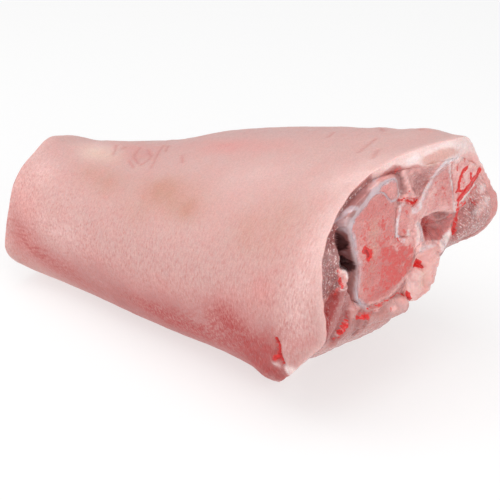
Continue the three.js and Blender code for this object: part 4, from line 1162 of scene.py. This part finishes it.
# How far something that rises by 1 along x moves over the picture of the cut
LIFT = np.array([SIGHT_Y, SIGHT_Z]) / -(1 - KNEE_LEAN * SIGHT_Y)
GAP_OUTLINE = [[-38.9, 96.6], [-38.5, 89], [-37.2, 84], [-36.3, 80.2], [-32.2, 77.2], [-30.9, 72],
               [-32.6, 69], [-30.5, 65], [-28.6, 59.5], [-24, 56], [-21, 62], [-21, 76], [-24, 86], [-27, 93],
               [-31, 96.6]]
GAP_DEPTH = 13
LOWER_GAP_DEPTH = 6

# The solids' outlines in the knee cut, [y, z]
SHIN_OUTLINE = [[-29, 97], [-22, 101], [-17, 104], [-13.5, 103.5], [-8.5, 98], [-5.5, 97.5], [-4.7, 91],
                [-4.8, 85], [-3.5, 79.5], [0, 77], [5, 77], [8.5, 73], [8, 66], [5, 59.5], [0, 55.5],
                [-8, 52.8], [-16, 53.2], [-21, 55.5], [-24.5, 60], [-25, 68], [-24.6, 75], [-27, 81],
                [-28.5, 88], [-30, 94]]
CALF_OUTLINE = [[-3, 92.5], [-1, 94], [2.5, 92.5], [7, 88.5], [12, 92.5], [16, 97.5], [21, 101.5],
                [25.5, 103], [28, 100], [29.5, 95], [31, 89], [32.6, 82], [32.5, 79.3], [27, 80.5],
                [21, 82.3], [13, 82.6], [8, 80.5], [3.5, 78.8], [0, 79], [-2.2, 81], [-3.2, 86]]
KNEE_BONE_OUTLINE = [[29.4, 102], [34, 101.4], [41, 101.6], [45.5, 98.6], [48.3, 94], [48, 90], [45, 86.7],
                     [40, 84.3], [36.8, 81.6], [34.8, 79.6], [33.6, 83.5], [32, 90], [30.6, 96]]
CREST_OUTLINE = [[-14.5, 105.4], [-10, 107.3], [-6, 106.5], [-4.2, 103], [-4.6, 99.8], [-7, 98.9],
                 [-9, 100.6], [-11.4, 103.6]]
GRISTLE_OUTLINE = [[-19, 52.5], [-24, 56], [-27.8, 61], [-27.6, 69], [-26.8, 76], [-30, 83], [-32, 90],
                   [-34, 97.5], [-30, 102], [-23, 105.5], [-15, 108.8], [-8, 109.4], [-3.2, 107.5],
                   [-1.8, 103], [-3.2, 97], [-8, 92], [-11, 82], [-11, 70], [-13, 58]]
FAT_LUMP_OUTLINE = [[4.5, 50], [6.5, 56], [9, 63], [14, 66.5], [19.5, 67], [23.5, 65.5], [24.8, 60],
                    [24.5, 54], [22, 49.5], [19, 47], [15, 43.8], [10.5, 43], [6.5, 45.5]]
PIECES_IN_CUT = [SHIN_OUTLINE, CALF_OUTLINE, KNEE_BONE_OUTLINE, CREST_OUTLINE, FAT_LUMP_OUTLINE]


def lean_face(y, z, angle, share, reach):
    """x of the lean in the knee cut, at share of the way from the middle to the rim."""
    below = knee_edge(y)[..., 0] - z
    bare = knee_plane(y) - 1.5 - UNDERCUT_SLOPE * 3 * np.log1p(np.exp(np.minimum(below / 3, 30)))
    near = smooth(112, 128, angle) * (1 - smooth(188, 202, angle))
    rim = smooth(0.78 + 0.1 * near, 1, share)
    bare += rim * (reach - 0.5 - 1.2 * near - bare)
    true = np.stack([y, z], -1)
    bones = np.min([outline_distance(true, outline) for outline in PIECES_IN_CUT], 0)
    gristle = outline_distance(true, GRISTLE_OUTLINE)
    inside = np.minimum(bones, gristle)
    upper = 1 - smooth(0, 5, below)
    bare += 1.15 * (1 - rim) * upper * np.exp(-(np.maximum(inside, 0) / 5) ** 2)
    seen = as_seen(np.stack([bare, y, z], -1))
    wavy = seen + 0.6 * np.stack([rough(seen, 5, 41), rough(seen, 5, 42)], -1)
    shown = (1 - 0.7 * rim) * (1 - smooth(4, 12, below))
    x = bare + 0
    for line, half, rise in LEAN_RELIEF.values():
        away = line_distance(wavy, line - 0.7 * rise * LIFT)
        x += rise * np.exp(-(away / half) ** 2) * (0.15 + 0.85 * shown)
    for line, half, rise in LEAN_ROLLS:
        away = line_distance(wavy, line - 0.8 * rise * LIFT)
        x += rise * np.sqrt(np.clip(1 - (away / half) ** 2, 0, 1)) * (0.15 + 0.85 * shown)
    lower = 1 - smooth(70, 75, seen[:, 1])
    depth = GAP_DEPTH + (LOWER_GAP_DEPTH - GAP_DEPTH) * lower
    x -= depth * (1 - smooth(-2.0, 0.2, outline_distance(seen + 0.5 * (wavy - seen), GAP_OUTLINE)))
    beside = 1.4 * (1 - smooth(-2, -0.5, gristle)) * smooth(0.7, 1.5, bones)
    x -= 2.5 * (1 - smooth(-2.4, -0.8, bones)) + beside
    place = np.stack([x, y, z], -1)
    slanted = np.stack([y + 0.8 * z, 0.3 * (z - 0.8 * y)], -1)
    streaks = smooth(0, 3, -outline_distance(seen, STREAKS)) * rough(slanted, 3, 47)
    return x + (0.5 * rough(place, 6, 43) + 0.25 * rough(place, 1.8, 46) + 0.5 * streaks) * (1 - 0.6 * rim)


def lean_rings(shape, angle):
    """Rings of points over the foot end, along under the rind and over the knee cut."""
    thick, reach = fat_thickness(angle), rind_reach(angle)
    foot_centre, knee_centre = (section(np.array([x]))[0][:2] for x in (FOOT_X, KNEE_X))
    foot_rim = surface_point(FOOT_X + 2, angle, thick)
    rings = []
    for share in np.linspace(0.02, 1, 46):
        yz = foot_centre + share * (foot_rim[:, 1:] - foot_centre)
        ends = sum(height * np.exp(-((yz[:, 0] - y) / wide) ** 2 - ((yz[:, 1] - z) / high) ** 2)
                   for y, z, wide, high, height in FOOT_TENDONS)
        x = FOOT_X + 2.2 - 0.8 * (1 - share ** 2) + ends * (1 - smooth(0.8, 1, share))
        place = np.column_stack([x, yz])
        place[:, 0] += (0.4 * rough(place, 4, 61) + 0.2 * rough(place, 1.6, 62)) * (1 - 0.6 * share ** 4)
        rings.append(place)
    for share in np.linspace(0.04, 0.97, 24):
        rings.append(surface_point(FOOT_X + (reach - FOOT_X) * share, angle, thick - 0.25))
    rim = surface_point(reach - 1.5, angle, thick - 0.1)[:, 1:]
    for share in np.concatenate([np.linspace(1, 0.75, 40), np.linspace(0.75, 0.01, shape.cut_rings)[1:]]):
        yz = knee_centre + share * (rim - knee_centre)
        rings.append(np.column_stack([lean_face(yz[:, 0], yz[:, 1], angle, share, reach), yz]))
    return rings


def build_lean(shape, colours):
    count = shape.cut_points_around
    angle = 360 * np.arange(count) / count
    rings = lean_rings(shape, angle)
    points = np.concatenate(rings + [[rings[0].mean(0), rings[-1].mean(0)]])
    last, top = len(points) - 1, (len(rings) - 1) * count
    faces = ring_faces(len(rings), count).tolist()
    faces += [[last - 1, (i + 1) % count, i] for i in range(count)]
    faces += [[last, top + i, top + (i + 1) % count] for i in range(count)]
    p = paint_cut(points, colours.lean, colours)
    fibre = p.cover(STREAKS, 0, 3) * (points[:, 0] > 20)
    paint_foot_end(p, colours)
    sleek = p.cover(SLEEK, 0, 2.5) * (points[:, 0] > 20)
    looks = {**p.looks(), "fibre": fibre, "sleek": sleek}
    piece = make_piece("lean_muscle", points, faces, looks, lean_material(colours))
    finish_piece(piece, "lean")


# Tendons that end in the foot end: [y, z, half width, half height, rise]
FOOT_TENDONS = [[-30, 46, 4, 3, -0.9], [-34, 30, 3.5, 4.5, -1.0], [-20, 12, 5, 3, -0.9],
                [-3, 14, 4, 3.5, -0.8], [6, 24, 3, 3, -0.9], [-24, 56, 4, 2.5, -0.8], [-8, 50, 3.5, 3, -0.9]]


def paint_foot_end(p, colours):
    """The foot end's own colours: lean with the ends of the tendons in it, fat towards the rind."""
    foot = p.points[:, 0] < FOOT_X + 8
    p.colour[foot] = colours.lean_light
    p.blood[foot] = 0
    p.fleck[foot] = 0.6
    flat = p.points[:, 1:] + 0.6 * np.stack([rough(p.points, 3, 71), rough(p.points, 3, 72)], -1)
    p.lay(foot * smooth(-0.2, 0.7, rough(p.points, 7, 73)), "lean")
    centre = section(np.array([FOOT_X]))[0]
    outer = np.hypot((flat[:, 0] - centre[0]) / centre[2], (flat[:, 1] - centre[1]) / centre[3])
    p.lay(foot * smooth(0.8, 0.9, outer), "fat_pink")
    for y, z, half_y, half_z, _ in FOOT_TENDONS:
        away = np.hypot((flat[:, 0] - y) / half_y, (flat[:, 1] - z) / half_z)
        p.lay(foot * (1 - smooth(1.1, 1.4, away)), "fat_pink")
        p.lay(foot * (1 - smooth(0.75, 1.0, away)), "gristle_light")


# ---------- bones, gristle, fat ----------

def front_cover(points, normals):
    """1 on what faces out of the knee cut, 0 elsewhere."""
    return smooth(0.2, 0.6, normals[:, 0]) * smooth(-4, -2, points[:, 0] - knee_plane(points[:, 1]))


def refine_front(piece, cuts):
    """Splits the faces in the knee cut into finer ones."""
    mesh = bmesh.new()
    mesh.from_mesh(piece.data)
    front = {face for face in mesh.faces
             if face.normal.x > 0.2 and to_drawing(face.calc_center_median())[0] > 80}
    edges = list({edge for face in front for edge in face.edges})
    bmesh.ops.subdivide_edges(mesh, edges=edges, cuts=cuts, use_grid_fill=True)
    mesh.to_mesh(piece.data)
    mesh.free()
    piece.data.polygons.foreach_set("use_smooth", np.ones(len(piece.data.polygons), bool))


def paint_foot_bone(p, node):
    """The sawn end at the foot: a pale wall of hard bone round red marrow."""
    low, _ = to_drawing(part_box(node))
    foot = 1 - smooth(FOOT_X + 1, FOOT_X + 2.5, p.points[:, 0])
    if low[0] > FOOT_X + 10 or not foot.any():
        return
    ring = p.points[foot > 0.5][:, 1:]
    centre, half = (ring.max(0) + ring.min(0)) / 2, (ring.max(0) - ring.min(0)) / 2
    away = np.linalg.norm((p.points[:, 1:] - centre) / half, axis=-1) + 0.05 * rough(p.points, 2, 81)
    p.lay(foot, "bone_hard")
    p.lay(foot * (1 - smooth(0.58, 0.74, away)), "bone_red")
    p.lay(foot * (1 - smooth(0.1, 0.6, away)) * 0.6, "bone_deep")


def widened(points, normals):
    """Points near the knee cut moved out sideways, to meet the next piece."""
    return points + 0.55 * smooth(84, 90, points[:, :1]) * normals * [0, 1, 1]


def build_bone(node, name, shape, colours, material, bulge):
    piece = dense_copy(node, name, shape.bone_detail)
    refine_front(piece, 1)
    points, normals = read_points(piece.data), read_normals(piece.data)
    front = front_cover(points, normals)
    p = paint_cut(points, colours.bone, colours)
    paint_foot_bone(p, node)
    height = 0.16 * rough(points, 4, 91) + 0.1 * rough(points * [1, 0.3, 1], 1.4, 94) - 0.5 * p.blood
    points[:, 0] += front * (bulge + height)
    points = widened(points, normals)
    write_points(piece.data, points)
    set_attributes(piece.data, p.looks())
    piece.data.materials.append(material)
    finish_piece(piece, node)


def build_bones(shape, colours):
    material = bone_material(colours)
    for node, bulge in (("shin_bone", 0.15), ("calf_bone", 0.15), ("knee_bone", 0.25), ("shin_crest", 0.2)):
        build_bone(node, node + "_sawn", shape, colours, material, bulge)


# The rounded outer edge of the gristle wall, [y, z] as seen; beyond it the wall falls into the gap
GRISTLE_EDGE = [[-20, 53.2], [-23.5, 55.8], [-26.6, 59], [-27, 63], [-26.5, 68], [-26, 72], [-26.1, 75.5],
                [-27.8, 79], [-29.5, 83], [-30.3, 87], [-31.4, 91], [-33, 94.5], [-34.8, 97.2], [-37, 100],
                [-30, 112], [0, 112], [0, 60], [-10, 50]]


def build_gristle(shape, colours):
    """The wall of gristle round the shin bone: flush with the bone, rounding off steeply into the gap."""
    piece = dense_copy("gristle", "gristle_wall", shape.bone_detail)
    refine_front(piece, 1)
    points = widened(read_points(piece.data), read_normals(piece.data))
    front = points.copy()
    front[:, 0] = knee_plane(points[:, 1])
    away = outline_distance(front[:, 1:], GRISTLE_EDGE)
    gentle = smooth(93, 99, points[:, 2])
    steep = 9 * smooth(-0.9, 2.2, away) + 0.9 * smooth(-2.6, 0, away)
    slow = 1.2 * smooth(-1.5, 2.5, away)
    drop = steep + gentle * (slow - steep) + 0.25 * rough(front, 5, 142)
    points[:, 0] = np.minimum(points[:, 0], knee_plane(points[:, 1]) + 0.1 - drop)
    p = paint_cut(points, colours.gristle, colours)
    write_points(piece.data, points)
    set_attributes(piece.data, p.looks())
    piece.data.materials.append(gristle_material(colours))
    finish_piece(piece, "gristle")


# Lobes of the fat lump, [y, z, size]
FAT_LOBES = [[19, 59, 8], [9, 51.5, 7], [16.5, 49.5, 6]]
FAT_CREVICE = [[8.2, 61.8], [11, 61.5], [14.5, 57.4]]
FAT_FOLDS = [[[12, 65], [18, 61], [25, 61]], [[14.5, 57], [16.5, 52], [14, 46]], [[20, 55], [25, 53]],
             [[6, 55], [11, 52]]]


def build_fat_lump(shape, colours):
    piece = dense_copy("fat_lump", "fat_lobes", shape.bone_detail)
    refine_front(piece, 1)
    points, normals = read_points(piece.data), read_normals(piece.data)
    seen = as_seen(points) + 1.2 * np.stack([rough(points, 6, 162), rough(points, 6, 163)], -1)
    heights = np.sort([size - np.hypot(seen[:, 0] - y, seen[:, 1] - z) for y, z, size in FAT_LOBES], 0)
    rise = 0.16 * np.clip(heights[-1], -1, 5) - 2.2 * np.exp(-(line_distance(seen, FAT_CREVICE) / 1.2) ** 2)
    for fold in FAT_FOLDS:
        rise -= 0.6 * np.exp(-(line_distance(seen, fold) / 1.2) ** 2)
    rise += 0.8 * rough(points, 5, 161) + 0.3 * rough(points, 2.2, 164)
    points = widened(points + normals * (rise * smooth(80, 92, points[:, 0]))[:, None], normals)
    p = paint_cut(points, colours.fat, colours)
    write_points(piece.data, points)
    set_attributes(piece.data, p.looks())
    piece.data.materials.append(fat_material(colours))
    finish_piece(piece, "fat_lump")


# ---------- the stage ----------

# The photograph's camera: the point it looks at and its distance in drawing millimetres, and its lens
SIGHT_TARGET = (14.8, 0.8, 41.8)
SIGHT_AZIMUTH = 40
SIGHT_ELEVATION = 30
SIGHT_DISTANCE = 738
LENS = 119.2


def sight_direction(azimuth, elevation):
    a, e = math.radians(azimuth), math.radians(elevation)
    return Vector((math.sin(a) * math.cos(e), -math.cos(a) * math.cos(e), math.sin(e)))


def build_camera():
    camera = bpy.data.objects.new("camera", bpy.data.cameras.new("camera"))
    bpy.context.scene.collection.objects.link(camera)
    back = sight_direction(SIGHT_AZIMUTH, SIGHT_ELEVATION)
    camera.data.lens = LENS
    camera.data.sensor_width = 36
    camera.data.clip_start = 0.01
    camera.location = Vector(to_frame(SIGHT_TARGET)) + back * SIGHT_DISTANCE / 1000
    camera.rotation_euler = back.to_track_quat("Z", "Y").to_euler()
    bpy.context.scene.camera = camera


def area_light(name, azimuth, elevation, distance, size, power):
    lamp = bpy.data.objects.new(name, bpy.data.lights.new(name, "AREA"))
    bpy.context.scene.collection.objects.link(lamp)
    lamp.data.shape = "DISK"
    lamp.data.size = size
    lamp.data.energy = power
    back = sight_direction(azimuth, elevation)
    lamp.location = back * distance + Vector((0, 0, 0.05))
    lamp.rotation_euler = back.to_track_quat("Z", "Y").to_euler()


def build_stage(look):
    size = 3.0
    mesh = bpy.data.meshes.new("floor")
    corners = [(-size, -size, 0), (size, -size, 0), (size, size, 0), (-size, size, 0)]
    mesh.from_pydata(corners, [], [(0, 1, 2, 3)])
    floor = bpy.data.objects.new("floor", mesh)
    bpy.context.scene.collection.objects.link(floor)
    pale = Nodes("pale floor")
    mesh.materials.append(pale.surface(Base_Color=(*look.floor, 1), Roughness=0.9, Specular_IOR_Level=0.1,
                                       Emission_Color=(1, 1, 1, 1), Emission_Strength=0.6))
    world = bpy.data.worlds.new("studio")
    bpy.context.scene.world = world
    world.use_nodes = True
    background = world.node_tree.nodes["Background"]
    background.inputs["Color"].default_value = (1, 1, 1, 1)
    background.inputs["Strength"].default_value = look.world_light
    area_light("overhead", 20, 75, 0.9, 0.9, look.overhead)
    area_light("front", 60, 30, 1.1, 0.7, look.front)
    area_light("side", -50, 35, 1.1, 0.8, look.side)
    bpy.context.scene.view_settings.view_transform = "Standard"


# ---------- the add-on ----------

def size_property(name, description, default, low=0.05, high=1000.0):
    return bpy.props.FloatProperty(name=name, description=description, default=default, min=low, max=high)


def colour_property(name, description, default):
    return bpy.props.FloatVectorProperty(name=name, description=description, default=default, subtype="COLOR",
                                         size=3, min=0, max=1)


def count_property(name, description, default, low):
    return bpy.props.IntProperty(name=name, description=description, default=default, min=low)


class HockShape(bpy.types.PropertyGroup):
    rind_points_around: count_property("Rind points", "Points round the rind", 420, 48)
    rind_rings: count_property("Rind rings", "Rings along the rind", 180, 20)
    cut_points_around: count_property("Cut points", "Points round the knee cut", 420, 48)
    cut_rings: count_property("Cut rings", "Rings inside the knee cut", 84, 10)
    bone_detail: size_property("Bone detail", "Width of a face of the bones, in mm", 0.6)


class HockColours(bpy.types.PropertyGroup):
    rind: colour_property("Rind", "The rind's main colour", (0.665, 0.415, 0.387))
    rind_pale: colour_property("Pale rind", "The palest rind, along its cut edge", (0.86, 0.59, 0.56))
    rind_rosy: colour_property("Rosy rind", "Rosy patches of the rind", (0.74, 0.31, 0.29))
    rind_flush: colour_property("Flushed rind", "The rind's reddest patches", (0.62, 0.15, 0.14))
    rind_tan: colour_property("Tan rind", "The rind's tan patches", (0.57, 0.30, 0.235))
    rind_cream: colour_property("Cream rind", "The pale yellowish rind at the ankle", (0.78, 0.57, 0.47))
    rind_grey: colour_property("Grey rind", "The greyish rind towards the far side", (0.60, 0.38, 0.37))
    # partly the rind's own redness, partly painted shade low on the near side
    low_rind_red_and_shade: colour_property("Low rind", "The redder rind low down on the near side", (0.44, 0.15, 0.142))
    rind_pore: colour_property("Pores", "Pores and wrinkles", (0.58, 0.19, 0.17))
    rind_soaked: colour_property("Soaked rind", "Rind with blood showing through", (0.46, 0.045, 0.042))
    bruise: colour_property("Bruise", "The bruised fold at the lower edge", (0.34, 0.045, 0.042))
    lean: colour_property("Lean", "The lean's main colour", (0.45, 0.19, 0.18))
    lean_light: colour_property("Light lean", "Lighter muscles", (0.67, 0.31, 0.29))
    lean_dark: colour_property("Dark lean", "Darker muscles", (0.35, 0.125, 0.12))
    # painted shadow in the grooves of the knee cut; also the dark dots on the rind
    deep_shade_and_dark_dots: colour_property("Deep lean", "The darkest dry lean", (0.28, 0.055, 0.05))
    # bloody lean; also painted shade on the shaded sides of the rolls and in the groove between them
    bloody_lean_and_shade: colour_property("Red lean", "Bloody lean", (0.38, 0.04, 0.037))
    lean_pale: colour_property("Pale lean", "Pale patches in the lean", (0.81, 0.50, 0.48))
    lean_tan: colour_property("Tan lean", "Dry tan parts of the lean", (0.73, 0.42, 0.37))
    flap: colour_property("Flap", "The smooth flap under the shin bone", (0.55, 0.24, 0.22))
    marbling: colour_property("Marbling", "Flecks of fat in the lean", (0.86, 0.64, 0.62))
    blood: colour_property("Blood", "Fresh blood", (0.76, 0.03, 0.027))
    clot: colour_property("Clot", "Darker blood", (0.46, 0.016, 0.015))
    stain: colour_property("Stain", "What blood has stained", (0.68, 0.09, 0.08))
    # painted shadow: the darkest of the gap of the joint
    gap: colour_property("Gap", "The darkest of the gap of the joint", (0.03, 0.006, 0.007))
    # painted shade: the walls of the gap of the joint
    gap_wall_shade: colour_property("Brown gap", "The wall of the gap", (0.28, 0.10, 0.095))
    # painted half shade: the dimly lit walls of the gap, the recess and the sheet above the cavity
    hollow_half_shade: colour_property("Grey gap", "The lit wall of the gap", (0.42, 0.20, 0.19))
    recess: colour_property("Recess", "The hollow under the calf bone", (0.62, 0.21, 0.20))
    bone: colour_property("Bone", "Sawn bone", (0.68, 0.28, 0.26))
    bone_light: colour_property("Light bone", "Lighter sawn bone", (0.84, 0.48, 0.45))
    bone_pale: colour_property("Pale bone", "The pale bone of the knee", (0.88, 0.54, 0.51))
    bone_pink: colour_property("Pink bone", "Pinker sawn bone", (0.77, 0.34, 0.32))
    bone_red: colour_property("Red bone", "Redder sawn bone", (0.60, 0.16, 0.15))
    bone_deep: colour_property("Deep bone", "The reddest sawn bone", (0.56, 0.12, 0.11))
    bone_tan: colour_property("Tan bone", "Brownish sawn bone", (0.66, 0.34, 0.28))
    bone_brown: colour_property("Brown line", "The gap line between the bones", (0.38, 0.13, 0.115))
    bone_hard: colour_property("Hard bone", "The wall of a bone", (0.82, 0.64, 0.58))
    gristle: colour_property("Gristle", "Gristle", (0.62, 0.47, 0.50))
    gristle_light: colour_property("Light gristle", "The palest gristle", (0.82, 0.66, 0.67))
    # pinkish gristle; also painted shade where gristle and tendon fall into hollows and creases
    pinkish_gristle_and_shade: colour_property("Gristle shade", "Pinkish gristle", (0.55, 0.36, 0.37))
    fat: colour_property("Fat", "Fat", (0.92, 0.68, 0.65))
    fat_white: colour_property("White fat", "The whitest fat", (0.96, 0.81, 0.79))
    fat_pink: colour_property("Pink fat", "Pink fat", (0.89, 0.49, 0.46))
    fat_rosy: colour_property("Rosy fat", "The rosiest fat", (0.76, 0.38, 0.35))
    fat_yellow: colour_property("Yellow fat", "Yellowish fat", (0.82, 0.56, 0.46))


class HockLook(bpy.types.PropertyGroup):
    floor: colour_property("Floor", "Colour of the floor", (0.4, 0.4, 0.4))
    world_light: size_property("World light", "Strength of the light from all round", 0.5, 0)
    overhead: size_property("Overhead light", "Power of the light from above, in watts", 4.0, 0)
    front: size_property("Front light", "Power of the light on the knee cut, in watts", 3.0, 0)
    side: size_property("Side light", "Power of the light on the near side, in watts", 2.0, 0)


class HOCK_OT_stage(bpy.types.Operator):
    """Add the floor, the lights and the camera."""
    bl_idname = "hock.stage"
    bl_label = "Stage"

    def execute(self, context):
        build_camera()
        build_stage(context.scene.hock_look)
        return {"FINISHED"}


class HOCK_OT_rind(bpy.types.Operator):
    """Add the rind with the cut edge of its fat."""
    bl_idname = "hock.rind"
    bl_label = "Rind"

    def execute(self, context):
        build_rind(context.scene.hock_shape, context.scene.hock_colours)
        return {"FINISHED"}


class HOCK_OT_lean(bpy.types.Operator):
    """Add the lean with the relief of the knee cut."""
    bl_idname = "hock.lean"
    bl_label = "Lean"

    def execute(self, context):
        build_lean(context.scene.hock_shape, context.scene.hock_colours)
        return {"FINISHED"}


class HOCK_OT_bones(bpy.types.Operator):
    """Add the sawn bones."""
    bl_idname = "hock.bones"
    bl_label = "Bones"

    def execute(self, context):
        build_bones(context.scene.hock_shape, context.scene.hock_colours)
        return {"FINISHED"}


class HOCK_OT_gristle(bpy.types.Operator):
    """Add the wall of gristle."""
    bl_idname = "hock.gristle"
    bl_label = "Gristle"

    def execute(self, context):
        build_gristle(context.scene.hock_shape, context.scene.hock_colours)
        return {"FINISHED"}


class HOCK_OT_fat_lump(bpy.types.Operator):
    """Add the lobed lump of fat."""
    bl_idname = "hock.fat_lump"
    bl_label = "Fat lump"

    def execute(self, context):
        build_fat_lump(context.scene.hock_shape, context.scene.hock_colours)
        return {"FINISHED"}


OPERATORS = [HOCK_OT_stage, HOCK_OT_rind, HOCK_OT_lean, HOCK_OT_bones, HOCK_OT_gristle, HOCK_OT_fat_lump]


class HOCK_PT_panel(bpy.types.Panel):
    """Buttons for the hock's pieces."""
    bl_idname = "HOCK_PT_panel"
    bl_label = "Pork hock"
    bl_space_type = "VIEW_3D"
    bl_region_type = "UI"
    bl_category = "Hock"

    def draw(self, context):
        for operator in OPERATORS:
            self.layout.operator(operator.bl_idname)


CLASSES = [HockShape, HockColours, HockLook, *OPERATORS, HOCK_PT_panel]


def register():
    for cls in CLASSES:
        bpy.utils.register_class(cls)
    bpy.types.Scene.hock_shape = bpy.props.PointerProperty(type=HockShape)
    bpy.types.Scene.hock_colours = bpy.props.PointerProperty(type=HockColours)
    bpy.types.Scene.hock_look = bpy.props.PointerProperty(type=HockLook)


def unregister():
    del bpy.types.Scene.hock_look, bpy.types.Scene.hock_colours, bpy.types.Scene.hock_shape
    for cls in reversed(CLASSES):
        bpy.utils.unregister_class(cls)


def main():
    register()
    bpy.ops.hock.stage()
    bpy.ops.hock.rind()
    bpy.ops.hock.lean()
    bpy.ops.hock.bones()
    bpy.ops.hock.gristle()
    bpy.ops.hock.fat_lump()


if __name__ == "__main__":
    main()
